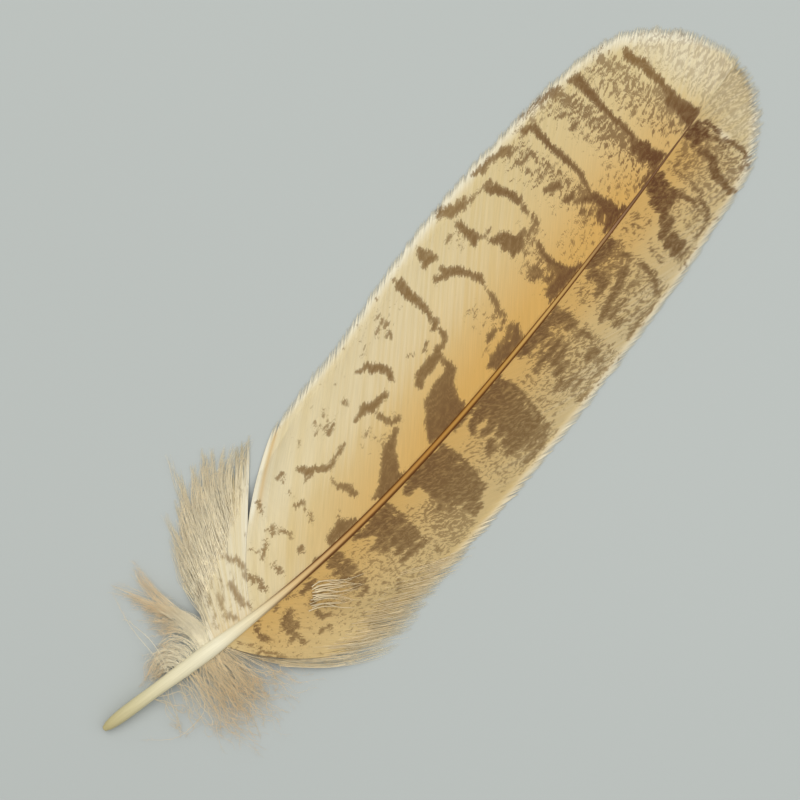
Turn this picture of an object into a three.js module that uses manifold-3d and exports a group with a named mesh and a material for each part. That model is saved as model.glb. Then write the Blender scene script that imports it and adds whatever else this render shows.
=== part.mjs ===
// A large barred wing feather, lying patterned side up: a pale hollow quill that narrows into the shaft, a
// wide vane and a narrow one, a split in the wide vane, and tufts of down and loose barbs round the base.
// Millimetres, +Z up. +X runs from the quill to the tip, and z = 0 is the surface that the feather lies on.
//
// Places on the feather are given as s, the distance along the shaft from the quill's end, and d, the
// distance off the shaft: positive over the wide vane, negative over the narrow one.
import * as THREE from "three";
import { mergeVertices } from "three/addons/utils/BufferGeometryUtils.js";
import Module from "manifold-3d";

// The shaft is one cubic curve, bowed sideways towards the narrow vane and arched over the surface.
const quillEnd = new THREE.Vector3(0, 0, 2.0);
const quillPull = new THREE.Vector3(66.8, -10.2, 9.5);
const tipPull = new THREE.Vector3(92, -24.5, 17);
const tipEnd = new THREE.Vector3(277.2, 0, 0.7);
const middle = new THREE.Vector3(138.657, -1.338, 0); // centre of the whole feather's box

// Width of the quill and shaft: s, then width.
const shaftWidths = [
  [0, 1.6],
  [2, 3.0],
  [6, 3.9],
  [12, 4.1],
  [20, 4.0],
  [32, 4.6],
  [40, 4.7],
  [50, 3.7],
  [62, 2.8],
  [100, 2.2],
  [140, 1.8],
  [180, 1.5],
  [220, 1.2],
  [277, 1.0],
];
const shaftTop = 277; // s where the shaft's solid ends, just short of the vanes' tips
const shaftDepth = 1.25; // depth of the shaft over its width, past the quill
const quillLength = 45;
const shaftSides = 8;
const shaftSteps = 32;

// The barbs that bound each vane: where on the shaft a barb grows, the s and d of its free tip, and the
// angle in degrees at which it leaves the shaft. The barbs between are blended from these.
const looseVane = [
  [42, 46.5, 17, 80],
  [46, 56, 27, 72],
  [50, 68, 33, 64],
  [53, 79, 38, 57],
  [56.8, 91, 41, 51],
];
const wideVane = [
  [56.5, 100, 38.5, 57],
  [66, 115, 40.5, 50],
  [80, 134, 42, 45],
  [100, 161, 45, 42],
  [120, 183, 46, 41],
  [140, 205, 45.2, 40],
  [160, 226, 43.2, 39],
  [180, 245, 39.5, 38],
  [200, 260, 34, 36],
  [215, 268.5, 27, 33],
  [230, 274.5, 19, 28],
  [245, 278.2, 11, 22],
  [258, 279.6, 5, 14],
  [270, 280, -0.3, 2],
];
const narrowVane = [
  [44, 79, 31, 58],
  [50, 87, 31.5, 52],
  [60, 100, 29.5, 45],
  [80, 128, 28.6, 36],
  [100, 154, 28, 32],
  [120, 178, 27.2, 30],
  [140, 200, 26.5, 30],
  [160, 219, 26, 30],
  [180, 237, 24.7, 30],
  [200, 253, 23.4, 29],
  [215, 262.5, 20.3, 28],
  [230, 270, 16, 25],
  [245, 275.8, 10.3, 20],
  [258, 278.8, 5.2, 13],
  [270, 280, -0.3, 2],
];
const barbSteps = 4; // steps along a barb
const barbBelly = 0.5; // how far along the barb's length its leaving direction pulls it
const rootInset = 0.2; // how far a vane starts across the shaft's middle line
const rootThickness = 0.7;
const marginThickness = 0.5;
const vaneSink = 0.45; // depth of a vane's underside below the middle of the shaft
const lieFrom = 0.88; // how far along the barbs the vane meets the surface, and lies flat on it
const camber = 1.8; // power by which a vane falls from shaft to margin
const ridgeHeight = 0.12; // raised line of every second row of barbs
const ridgeSpacing = 4.4;

// Locks of down that grow on the quill, and ruffled barbs that lie over the narrow vane: s and d of the
// root, of the bend and of the tip.
const downLocks = [
  [41, 1, 42, 13, 37, 35.5],
  [40, 1, 41, 12, 36, 30.5],
  [39.5, 1, 40, 14, 30, 31],
  [39, 1, 40, 13, 25.5, 32.5],
  [38, 1, 38, 13, 27, 27],
  [37, 1, 36, 12, 24.7, 20.5],
  [41, 1, 43, 9, 33, 24],
  [36, 1, 31, 10, 30, 17],
  [33, 1, 28, 9, 24, 12],
  [29, 1, 24, 8, 19, 10],
  [25, 1, 21, 7, 17, 7],
  [19, -1, 22, -9, 24, -12],
  [23, -1, 19, -11, 20, -17],
  [29, -1, 21, -17, 7, -12.8],
  [26, -1, 26, -10, 22, -20],
  [30, -1, 27, -14, 26.9, -29],
  [32, -1, 32, -12, 30, -24],
  [34, -1, 31, -16, 31.9, -40.6],
  [36, -1, 34, -15, 34, -32],
  [37, -1, 37, -11, 36, -22],
  [38, -1, 38, -14, 38, -28],
  [40, -1, 40, -16, 44.2, -39.1],
  [41, -1, 41, -11, 42, -22],
  [42, -1, 43, -14, 46, -27],
  [43, -1, 45, -15, 49.7, -30.9],
  [44, -1, 48, -13, 54, -25],
  [45, -1, 50, -15, 59.8, -31.4],
];
const ruffledLocks = [
  [68, -4, 76, -10, 85, -17],
  [71, -3, 79, -7, 90, -14],
  [74, -5, 80, -12, 86, -21],
];

// Locks at a vane's margin: the barb they grow on, how far along it, then s and d of the bend and the tip.
const looseLocks = [
  [43, 0.6, 46.5, 20, 50, 32],
  [44.5, 0.65, 50, 25, 54.5, 41],
  [45.5, 0.7, 53, 28, 58, 38],
  [46.5, 0.75, 56, 31, 61.5, 43],
  [47.5, 0.75, 59, 34, 65, 47],
  [48, 0.8, 61, 37, 67.9, 54.3],
  [49, 0.8, 64, 36, 70.5, 47],
  [50, 0.8, 68, 38, 74, 48.5],
  [51, 0.8, 71, 38, 77.5, 46],
  [52, 0.8, 74, 39, 81.1, 49.8],
  [53, 0.8, 78, 39, 85.5, 46],
  [54, 0.8, 83, 39, 90.7, 43.6],
  [55, 0.85, 90, 39.5, 96.4, 42.6],
];
const narrowLocks = [
  [44.5, 0.3, 60, -21, 66.6, -30.2],
  [45.5, 0.45, 64, -24, 70.9, -32.7],
  [47, 0.65, 72, -28, 80.9, -33],
  [50, 0.8, 84, -31, 93, -32],
];
const lockRadius = 1.0;
const lockTipRadius = 0.35;
const downBulge = 0.8; // how much wider a lock of down is halfway along
const lockFlatness = 0.7; // a lock's thickness over its width
const lockSides = 4;
const lockSteps = 4;
const lockTipHeight = 0.5; // the tips come down to the surface
const downSag = 0.7; // height of a down lock's bend over that of its root
const ruffleFall = 1.2; // how far the ruffled barbs fall to their bends
const ruffleTipHeight = 3.2;

const shaft = new THREE.CubicBezierCurve3(quillEnd, quillPull, tipPull, tipEnd);
shaft.arcLengthDivisions = 800;
const shaftLength = shaft.getLength();

// A column of a table at a given first column, on a smooth curve through the rows.
function readTable(table, at, column) {
  let row = 0;
  while (row < table.length - 2 && at > table[row + 1][0]) row += 1;
  const before = table[Math.max(row - 1, 0)];
  const low = table[row];
  const high = table[row + 1];
  const after = table[Math.min(row + 2, table.length - 1)];
  const span = high[0] - low[0];
  const share = THREE.MathUtils.clamp((at - low[0]) / span, 0, 1);
  const lowSlope = ((high[column] - before[column]) / (high[0] - before[0])) * span;
  const highSlope = ((after[column] - low[column]) / (after[0] - low[0])) * span;
  const cube = share ** 3;
  const square = share ** 2;
  return (
    low[column] * (2 * cube - 3 * square + 1) +
    lowSlope * (cube - 2 * square + share) +
    high[column] * (3 * square - 2 * cube) +
    highSlope * (cube - square)
  );
}

// The point at s along the shaft and d off it, at height z over the surface.
function place(s, d, z) {
  const share = THREE.MathUtils.clamp(s / shaftLength, 0, 1);
  const point = shaft.getPointAt(share);
  const along = shaft.getTangentAt(share);
  const across = new THREE.Vector2(-along.y, along.x).normalize();
  return new THREE.Vector3(point.x + across.x * d, point.y + across.y * d, z).sub(middle);
}

// Height of the shaft's middle over the surface.
function shaftHeight(s) {
  return shaft.getPointAt(THREE.MathUtils.clamp(s / shaftLength, 0, 1)).z;
}

// The s and d of a point on one barb of a vane, from its root at along = 0 to its free tip at along = 1.
function onBarb(vane, root, along) {
  const leave = THREE.MathUtils.degToRad(readTable(vane, root, 3));
  const start = new THREE.Vector2(root, -rootInset);
  const end = new THREE.Vector2(readTable(vane, root, 1), readTable(vane, root, 2));
  const reach = start.distanceTo(end) * barbBelly;
  const pull = new THREE.Vector2(Math.cos(leave), Math.sin(leave)).multiplyScalar(reach).add(start);
  return new THREE.QuadraticBezierCurve(start, pull, end).getPoint(along);
}

// Height of a vane's underside, falling from the shaft to a margin that lies on the surface.
function vaneUnderside(root, along) {
  const fall = Math.min(along / lieFrom, 1) ** camber;
  return Math.max(0, (shaftHeight(root) - vaneSink) * (1 - fall));
}

// Moves every vertex of a geometry by a rule, and makes it a solid.
function solidFrom(geometry, rule) {
  geometry.deleteAttribute("normal");
  geometry.deleteAttribute("uv");
  const merged = mergeVertices(geometry, 1e-5);
  const positions = merged.getAttribute("position");
  for (let i = 0; i < positions.count; i += 1) {
    const moved = rule(new THREE.Vector3().fromBufferAttribute(positions, i));
    positions.setXYZ(i, moved.x, moved.y, moved.z);
  }
  const vertProperties = positions.array;
  const triVerts = new Uint32Array(merged.index.array);
  return new wasm.Manifold(new wasm.Mesh({ numProp: 3, vertProperties, triVerts }));
}

// The quill and shaft: a tube of oval sections, round in the quill and deeper than wide past it.
function shaftSolid() {
  const tube = new THREE.CylinderGeometry(1, 1, 1, shaftSides, shaftSteps);
  return solidFrom(tube, (vertex) => {
    const s = (vertex.y + 0.5) ** 1.2 * shaftTop;
    const width = readTable(shaftWidths, s, 1);
    const deeper = THREE.MathUtils.smoothstep(s, quillLength, 2 * quillLength);
    const depth = width * THREE.MathUtils.lerp(1, shaftDepth, deeper);
    const sink = 0.1 * deeper * depth; // the vanes join the shaft above its middle
    const z = shaftHeight(s) - sink + (vertex.z * depth) / 2;
    return place(s, (-vertex.x * width) / 2, Math.max(z, 0));
  });
}

// One vane between two of its roots: side is 1 for the wide vane and -1 for the narrow one.
function vaneSolid(vane, side) {
  const from = vane[0][0];
  const to = vane[vane.length - 1][0];
  const rows = Math.round((to - from) / ridgeSpacing);
  const sheet = new THREE.BoxGeometry(1, 1, 1, rows, barbSteps, 1);
  return solidFrom(sheet, (vertex) => {
    const root = THREE.MathUtils.lerp(from, to, vertex.x + 0.5);
    const step = side * vertex.y + 0.5;
    const along = step < 1 ? (step * lieFrom) / (1 - 1 / barbSteps) : 1;
    const spot = onBarb(vane, root, along);
    const ridge = (Math.round((vertex.x + 0.5) * rows) % 2) * ridgeHeight;
    const thickness = THREE.MathUtils.lerp(rootThickness, marginThickness, along) + ridge;
    const z = vaneUnderside(root, along) + (vertex.z > 0 ? thickness : 0);
    return place(spot.x, side * spot.y, z);
  });
}

// One tapered lock along a curve through its root, bend and tip, at the given heights.
function lockSolid([rootS, rootD, bendS, bendD, tipS, tipD], [rootZ, bendZ, tipZ], bulge) {
  const path = new THREE.CatmullRomCurve3([
    place(rootS, rootD, rootZ),
    place(bendS, bendD, bendZ),
    place(tipS, tipD, tipZ),
  ]);
  const up = new THREE.Vector3(0, 0, 1);
  const lock = new THREE.CylinderGeometry(1, 1, 1, lockSides, lockSteps);
  return solidFrom(lock, (vertex) => {
    const along = vertex.y + 0.5;
    const centre = path.getPoint(along);
    const forward = path.getTangent(along);
    const across = new THREE.Vector3().crossVectors(forward, up).normalize();
    const over = new THREE.Vector3().crossVectors(across, forward);
    const taper = THREE.MathUtils.lerp(lockRadius, lockTipRadius, along);
    const radius = taper + bulge * Math.sin(Math.PI * along);
    centre.addScaledVector(across, vertex.x * radius);
    centre.addScaledVector(over, vertex.z * radius * lockFlatness);
    return centre.setZ(Math.max(centre.z, 0));
  });
}

// A lock that grows on a vane, part of the way along one of its barbs.
function marginLockSolid(vane, side, barb, along, bendAndTip) {
  const root = onBarb(vane, barb, along);
  const rootZ = vaneUnderside(barb, along) + marginThickness / 2;
  const lock = [root.x, side * root.y, ...bendAndTip];
  return lockSolid(lock, [rootZ, (rootZ + lockTipHeight) / 2, lockTipHeight], 0);
}

const wasm = await Module();
wasm.setup();

let whole = shaftSolid();
whole = whole.add(vaneSolid(looseVane, 1));
whole = whole.add(vaneSolid(wideVane, 1));
whole = whole.add(vaneSolid(narrowVane, -1));
for (const lock of downLocks) {
  const rootZ = shaftHeight(lock[0]);
  whole = whole.add(lockSolid(lock, [rootZ, rootZ * downSag, lockTipHeight], downBulge));
}
for (const [barb, along, ...rest] of looseLocks) {
  whole = whole.add(marginLockSolid(looseVane, 1, barb, along, rest));
}
for (const [barb, along, ...rest] of narrowLocks) {
  whole = whole.add(marginLockSolid(narrowVane, -1, barb, along, rest));
}
for (const lock of ruffledLocks) {
  const rootZ = shaftHeight(lock[0]);
  whole = whole.add(lockSolid(lock, [rootZ, rootZ - ruffleFall, ruffleTipHeight], 0));
}

const made = whole.getMesh();
const geometry = new THREE.BufferGeometry();
geometry.setAttribute("position", new THREE.BufferAttribute(made.vertProperties, 3));
geometry.setIndex(new THREE.BufferAttribute(made.triVerts, 1));
geometry.computeVertexNormals();

const buff = new THREE.MeshStandardMaterial({ color: "#d2bd95", roughness: 0.8, metalness: 0 });
const mesh = new THREE.Mesh(geometry, buff);
mesh.name = "feather";

const feather = new THREE.Group();
feather.add(mesh);

export default feather;
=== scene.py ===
import math

import bmesh
import bpy
import numpy as np
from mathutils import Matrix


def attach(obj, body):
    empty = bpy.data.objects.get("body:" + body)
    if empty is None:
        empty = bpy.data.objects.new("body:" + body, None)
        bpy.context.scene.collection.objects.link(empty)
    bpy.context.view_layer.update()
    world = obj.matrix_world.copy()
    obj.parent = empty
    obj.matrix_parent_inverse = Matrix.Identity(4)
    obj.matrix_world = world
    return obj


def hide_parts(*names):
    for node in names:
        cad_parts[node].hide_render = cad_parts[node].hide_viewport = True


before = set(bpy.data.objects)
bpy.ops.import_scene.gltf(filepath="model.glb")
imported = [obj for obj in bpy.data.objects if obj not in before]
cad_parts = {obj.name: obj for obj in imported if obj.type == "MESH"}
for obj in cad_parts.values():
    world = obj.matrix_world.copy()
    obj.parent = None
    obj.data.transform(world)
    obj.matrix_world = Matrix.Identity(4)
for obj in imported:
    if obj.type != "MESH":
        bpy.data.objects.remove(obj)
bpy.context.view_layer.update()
mm = 0.001

# Places on the feather are s, the distance along the shaft from the quill's end, and d, the distance off
# the shaft: positive over the wide vane and negative over the narrow one. Both are in millimetres.

shaftLine = {
    "corners": [(0, 0, 2.0), (66.8, -10.2, 9.5), (92, -24.5, 17), (277.2, 0, 0.7)],  # a cubic curve's
    "middle": (138.657, -1.338),  # centre of the feather's box, which is the origin
    "samples": 4000,
}


def cubicLine(corners, samples):
    t = np.linspace(0, 1, samples)[:, None]
    a, b, c, d = np.array(corners, float)
    return (1 - t) ** 3 * a + 3 * (1 - t) ** 2 * t * b + 3 * (1 - t) * t**2 * c + t**3 * d


linePoints = cubicLine(shaftLine["corners"], shaftLine["samples"])
lineSteps = np.linalg.norm(np.diff(linePoints, axis=0), axis=1)
lineLengths = np.concatenate([[0], np.cumsum(lineSteps)])
lineWay = np.gradient(linePoints[:, :2], axis=0)
lineWay /= np.linalg.norm(lineWay, axis=1)[:, None]
shaftLength = lineLengths[-1]


# Points at s along the shaft and d off it, z over the surface, in metres.
def place(s, d, z):
    onLine = np.clip(s, 0, shaftLength)
    x, y = (np.interp(onLine, lineLengths, linePoints[:, axis]) for axis in (0, 1))
    wayX, wayY = (np.interp(onLine, lineLengths, lineWay[:, axis]) for axis in (0, 1))
    past = s - onLine
    x = x + wayX * past - wayY * d - shaftLine["middle"][0]
    y = y + wayY * past + wayX * d - shaftLine["middle"][1]
    return np.stack([x, y, z + 0 * x], axis=-1) * mm


def shaftHeight(s):
    return np.interp(s, lineLengths, linePoints[:, 2])


# A column of a table at given values of its first column, on a smooth curve through the rows.
def readTable(table, at, column=1):
    rows = np.array(table, float)
    keys, values = rows[:, 0], rows[:, column]
    low = np.clip(np.searchsorted(keys, at, side="right") - 1, 0, len(keys) - 2)
    high, before, after = low + 1, np.maximum(low - 1, 0), np.minimum(low + 2, len(keys) - 1)
    span = keys[high] - keys[low]
    t = np.clip((at - keys[low]) / span, 0, 1)
    lowSlope = (values[high] - values[before]) / (keys[high] - keys[before]) * span
    highSlope = (values[after] - values[low]) / (keys[after] - keys[low]) * span
    start = values[low] * (2 * t**3 - 3 * t**2 + 1) + lowSlope * (t**3 - 2 * t**2 + t)
    return start + values[high] * (3 * t**2 - 2 * t**3) + highSlope * (t**3 - t**2)


def smoothStep(value, low, high):
    t = np.clip((value - low) / (high - low), 0, 1)
    return t * t * (3 - 2 * t)


# A smooth hill: 1 at its middle, about a third at its width from there.
def hill(value, middle, width):
    return np.exp(-(((value - middle) / width) ** 2))


# Evenly spread noise from 0 to 1: rows are barbs, columns are steps along them, each smoothed by its blur.
def grainNoise(chance, rows, columns, rowBlur, columnBlur):
    grain = chance.standard_normal((rows, columns))
    for axis, blur in ((0, rowBlur), (1, columnBlur)):
        reach = np.arange(-math.ceil(2 * blur), math.ceil(2 * blur) + 1)
        weights = np.exp(-0.5 * (reach / max(blur, 0.01)) ** 2)
        grain = np.apply_along_axis(np.convolve, axis, grain, weights, mode="same")
    grain = (grain - grain.mean()) / grain.std()
    return 0.5 + 0.5 * np.tanh(0.8 * grain)


# The same with one value to a barb.
def barbNoise(chance, barbs, blur):
    return grainNoise(chance, barbs, 3, blur, 0.01)[:, :1]


def linearColour(red, green, blue):
    channels = np.array([red, green, blue]) / 255
    curved = ((channels + 0.055) / 1.055) ** 2.4
    return (*np.where(channels <= 0.04045, channels / 12.92, curved), 1)


# Nodes are placed on a simple grid, so that the tree can be read in the editor.
def addNode(material, kind, values=None, **settings):
    tree = material.node_tree
    node = tree.nodes.new(kind)
    node.location = (220 * (len(tree.nodes) % 9) - 900, -260 * (len(tree.nodes) // 9) + 500)
    for name, value in settings.items():
        setattr(node, name, value)
    for name, value in (values or {}).items():
        if isinstance(value, bpy.types.NodeSocket):
            tree.links.new(value, node.inputs[name])
        else:
            node.inputs[name].default_value = value
    return node


def mixColours(material, share, first, second):
    return addNode(material, "ShaderNodeMix", {0: share, 6: first, 7: second}, data_type="RGBA").outputs[2]


def addMath(material, operation, first, second, third=0.0):
    values = {0: first, 1: second, 2: third}
    return addNode(material, "ShaderNodeMath", values, operation=operation).outputs[0]


def mapRange(material, value, fromLow, fromHigh, low=0, high=1, **settings):
    values = {"Value": value, "From Min": fromLow, "From Max": fromHigh, "To Min": low, "To Max": high}
    return addNode(material, "ShaderNodeMapRange", values, **settings).outputs[0]


def smoothRange(material, value, low, high):
    return mapRange(material, value, low, high, interpolation_type="SMOOTHSTEP")


def addNoise(material, where, scale=1.0, detail=2.0):
    values = {"Vector": where, "Scale": scale, "Detail": detail}
    return addNode(material, "ShaderNodeTexNoise", values).outputs[0]


# Noise on the unrolled piece, finer across it than along it.
def addGrain(material, unrolled, across, along, scale=1.0, detail=2.0):
    finer = addNode(material, "ShaderNodeMapping", {"Vector": unrolled, "Scale": (across, along, 1)})
    return addNoise(material, finer.outputs[0], scale, detail)


# The four parts of a piece's plumage attribute.
def readPlumage(material):
    masks = addNode(material, "ShaderNodeAttribute", attribute_name="plumage").outputs
    parts = addNode(material, "ShaderNodeSeparateColor", {"Color": masks["Color"]}).outputs
    return *parts, masks["Alpha"]


def newMaterial(name, surface):
    material = bpy.data.materials.new(name)
    material.use_nodes = True
    shader = material.node_tree.nodes["Principled BSDF"]
    for socket, value in surface.items():
        shader.inputs[socket].default_value = value
    return material, shader


def setColour(material, shader, colour, tone):
    toned = addNode(material, "ShaderNodeVectorMath", {0: colour, 1: tone}, operation="MULTIPLY")
    material.node_tree.links.new(toned.outputs[0], shader.inputs["Base Color"])


def setBump(material, shader, height, strength, distance):
    bump = addNode(material, "ShaderNodeBump", {"Height": height, "Strength": strength, "Distance": distance})
    material.node_tree.links.new(bump.outputs[0], shader.inputs["Normal"])


camera = {
    "aim": (-5.6, 4.8),  # the point under the middle of the view
    "roll": 46.545,  # degrees from the view's right to the feather's length
    "lens": 100,
    "sensor": 36,
    "frameWidth": 240,
    "focusHeight": 4,
    "nearest": 10,
}


def makeCamera():
    data = bpy.data.cameras.new("camera")
    data.lens = camera["lens"]
    data.sensor_width = camera["sensor"]
    data.clip_start = camera["nearest"] * mm
    away = camera["frameWidth"] * camera["lens"] / camera["sensor"] + camera["focusHeight"]
    made = bpy.data.objects.new("camera", data)
    made.location = (camera["aim"][0] * mm, camera["aim"][1] * mm, away * mm)
    made.rotation_euler = (0, 0, -math.radians(camera["roll"]))
    bpy.context.collection.objects.link(made)
    bpy.context.scene.camera = made


studio = {
    "key": {"at": (0.1, 0.4, 1.15), "size": 1.2, "power": 9.3, "colour": (1, 0.985, 0.955)},
    "fill": {"at": (0.27, -0.32, 0.58), "size": 0.9, "power": 1.45, "colour": (0.97, 0.985, 1)},
    "air": (0.9, 0.91, 0.92),
    "airStrength": 0.62,
    "floorColour": (176, 181, 178),
    "floorShade": 0.97,  # its darker clouds
    "floorCloud": 2.5,  # clouds to a metre
    "floorSurface": {"Roughness": 0.95, "Specular IOR Level": 0.1},
    "floorSize": 3,
    "floorDrop": 0.00002,
}


def makeStudio():
    for name in ("key", "fill"):
        lamp = studio[name]
        data = bpy.data.lights.new(name, "AREA")
        data.shape = "DISK"
        data.size = lamp["size"]
        data.energy = lamp["power"]
        data.color = lamp["colour"]
        made = bpy.data.objects.new(name, data)
        made.location = lamp["at"]
        aim = -made.location
        made.rotation_euler = aim.to_track_quat("-Z", "Y").to_euler()
        bpy.context.collection.objects.link(made)
    world = bpy.data.worlds.new("air")
    world.use_nodes = True
    background = world.node_tree.nodes["Background"]
    background.inputs["Color"].default_value = (*studio["air"], 1)
    background.inputs["Strength"].default_value = studio["airStrength"]
    bpy.context.scene.world = world
    bpy.context.scene.view_settings.view_transform = "Standard"


def makeFloor():
    sheet = bmesh.new()
    bmesh.ops.create_grid(sheet, x_segments=4, y_segments=4, size=studio["floorSize"] / 2)
    bmesh.ops.translate(sheet, verts=sheet.verts, vec=(0, 0, -studio["floorDrop"]))
    mesh = bpy.data.meshes.new("floor")
    sheet.to_mesh(mesh)
    sheet.free()
    material, shader = newMaterial("floor_paper", studio["floorSurface"])
    where = addNode(material, "ShaderNodeTexCoord").outputs["Object"]
    cloud = addNoise(material, where, studio["floorCloud"])
    pale = linearColour(*studio["floorColour"])
    darker = linearColour(*(studio["floorShade"] * channel for channel in studio["floorColour"]))
    paper = mixColours(material, cloud, darker, pale)
    material.node_tree.links.new(paper, shader.inputs["Base Color"])
    mesh.materials.append(material)
    floor = bpy.data.objects.new("floor", mesh)
    bpy.context.collection.objects.link(floor)


makeCamera()
makeStudio()
makeFloor()
print("camera, lights and floor made")


# Closed three-sided strands along lines of points (n lines, m points, xyz in metres): widths and heights
# are n by m in millimetres, masks is n by m by 4, and tilt turns each section about its line.
def strandParts(centres, widths, heights, masks, tilt=0.0):
    lines, points = centres.shape[:2]
    forward = np.gradient(centres, axis=1)
    forward /= np.linalg.norm(forward, axis=2, keepdims=True) + 1e-12
    across = np.cross(forward, (0.0, 0.0, 1.0))
    across /= np.linalg.norm(across, axis=2, keepdims=True) + 1e-12
    over = np.cross(across, forward)
    turn = np.broadcast_to(np.asarray(tilt, float), (lines, points))[..., None]
    side = across * np.cos(turn) + over * np.sin(turn)
    top = over * np.cos(turn) - across * np.sin(turn)
    half = side * (widths * mm / 2)[..., None]
    corners = np.stack([centres - half, centres + half, centres + top * (heights * mm)[..., None]], axis=2)
    number = np.arange(lines * points * 3).reshape(lines, points, 3)
    quads = []
    for here, there in ((1, 0), (2, 1), (0, 2)):
        walls = [number[:, :-1, here], number[:, :-1, there], number[:, 1:, there], number[:, 1:, here]]
        quads.append(np.stack(walls, axis=-1).reshape(-1, 4))
    ends = [number[:, 0, (0, 1, 2)], number[:, -1, (2, 1, 0)]]
    # a strip of the UV map for each strand
    strip = (np.arange(lines) / lines)[:, None, None]
    column = np.array([0.08, 0.92, 0.5]) / lines
    row = np.linspace(0.002, 0.998, points)[None, :, None]
    u, v = (np.broadcast_to(part, corners.shape[:3]) for part in (strip + column, row))
    return {
        "points": corners.reshape(-1, 3),
        "quads": np.concatenate(quads),
        "triangles": np.concatenate(ends),
        "places": np.stack([u, v], axis=-1).reshape(-1, 2),
        "masks": np.repeat(masks, 3, axis=1).reshape(-1, 4),
    }


# Barbules: thin closed spikes that stand on given points of the strands, n by xyz, reaching to their tips.
def spikeParts(feet, tips, radius, places, masks):
    count = len(feet)
    forward = tips - feet
    forward /= np.linalg.norm(forward, axis=1, keepdims=True) + 1e-12
    across = np.cross(forward, (0.0, 0.0, 1.0))
    across /= np.linalg.norm(across, axis=1, keepdims=True) + 1e-12
    over = np.cross(across, forward)
    reach = radius * mm
    corners = [feet - across * reach, feet + across * reach, feet + over * reach, tips]
    number = np.arange(count * 4).reshape(count, 4)
    walls = [number[:, (1, 0, 3)], number[:, (2, 1, 3)], number[:, (0, 2, 3)], number[:, (0, 1, 2)]]
    spread = np.array([(-0.0004, 0), (0.0004, 0), (0, 0.0003), (0, 0.0012)])
    return {
        "points": np.stack(corners, axis=1).reshape(-1, 3),
        "quads": np.empty((0, 4), int),
        "triangles": np.concatenate(walls),
        "places": np.clip(places[:, None, :] + spread, 0, 1).reshape(-1, 2),
        "masks": np.repeat(masks, 4, axis=0),
    }


# Every piece belongs to the one body and takes the place of the one solid.
def addPiece(name, mesh, material):
    mesh.shade_smooth()
    mesh.materials.append(material)
    piece = bpy.data.objects.new(name, mesh)
    bpy.context.collection.objects.link(piece)
    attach(piece, "root")
    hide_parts("feather")
    print(name, "made,", sum(len(face.vertices) - 2 for face in mesh.polygons), "triangles")


def joinedPiece(name, parts, material):
    def joined(key):
        return np.concatenate([part[key] for part in parts])

    sizes = [len(part["points"]) for part in parts]
    shifts = np.concatenate([[0], np.cumsum(sizes)[:-1]])
    quads = np.concatenate([part["quads"] + shift for part, shift in zip(parts, shifts)])
    triangles = np.concatenate([part["triangles"] + shift for part, shift in zip(parts, shifts)])
    corners = np.concatenate([quads.ravel(), triangles.ravel()]).astype(np.int32)
    sides = np.concatenate([np.full(len(quads), 4), np.full(len(triangles), 3)])
    starts = np.concatenate([[0], np.cumsum(sides)[:-1]]).astype(np.int32)
    mesh = bpy.data.meshes.new(name)
    mesh.vertices.add(sum(sizes))
    mesh.vertices.foreach_set("co", joined("points").ravel())
    mesh.loops.add(len(corners))
    mesh.loops.foreach_set("vertex_index", corners)
    mesh.polygons.add(len(sides))
    mesh.polygons.foreach_set("loop_start", starts)
    mesh.update(calc_edges=True)
    mesh.uv_layers.new(name="OFBake").data.foreach_set("uv", joined("places")[corners].ravel())
    attributes = {"plumage": "masks", "grain": "grain"}
    for attribute, key in attributes.items():
        if key in parts[0]:
            made = mesh.attributes.new(attribute, "FLOAT_COLOR", "POINT")
            made.data.foreach_set("color", joined(key).astype(float).ravel())
    addPiece(name, mesh, material)


quill = {
    # s and the width there
    "widths": [
        (0, 1.6), (2, 3.0), (6, 3.9), (12, 4.1), (20, 4.0), (32, 4.6), (40, 4.7), (50, 3.7), (62, 2.8),
        (100, 2.4), (140, 2.1), (180, 1.8), (220, 1.3), (240, 0.95), (260, 0.5), (274, 0.25),
    ],
    "length": 45,  # where the hollow quill ends and the shaft begins
    "top": 274,
    "deeper": 1.25,  # depth of the shaft over its width, past the quill
    "sides": 20,
    "rings": 170,
    "crowding": 1.4,  # power that sets the rings closer near the quill's end
    "groove": 0.22,  # of the depth, along the shaft's underside
    "bulge": 0.35,  # roundness of the ends
    "surface": {"Roughness": 0.45, "Specular IOR Level": 0.24},
    # colours by share of the length: ivory quill, tan, then amber to dark brown
    "colours": [
        (0.0, (178, 166, 118)), (0.045, (200, 190, 148)), (0.1, (222, 213, 178)), (0.16, (228, 220, 190)),
        (0.21, (220, 206, 168)), (0.27, (206, 174, 120)), (0.36, (178, 132, 66)), (0.47, (164, 115, 40)),
        (0.58, (172, 127, 50)), (0.66, (186, 146, 76)), (0.74, (164, 128, 70)), (0.785, (134, 100, 66)),
        (0.84, (106, 76, 46)), (0.935, (104, 72, 44)), (0.965, (178, 150, 104)), (1.0, (190, 170, 126)),
    ],
    # the flanks' colour: the shaft's own brown edges and painted shade down its sides
    "flankBrownAndShade": (98, 54, 12),
    "flanks": (0.37, 0.645),  # places round the shaft where they are darkest
    # where round the shaft the paler line runs, a painted highlight
    "ridge": 0.515,
}


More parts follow.
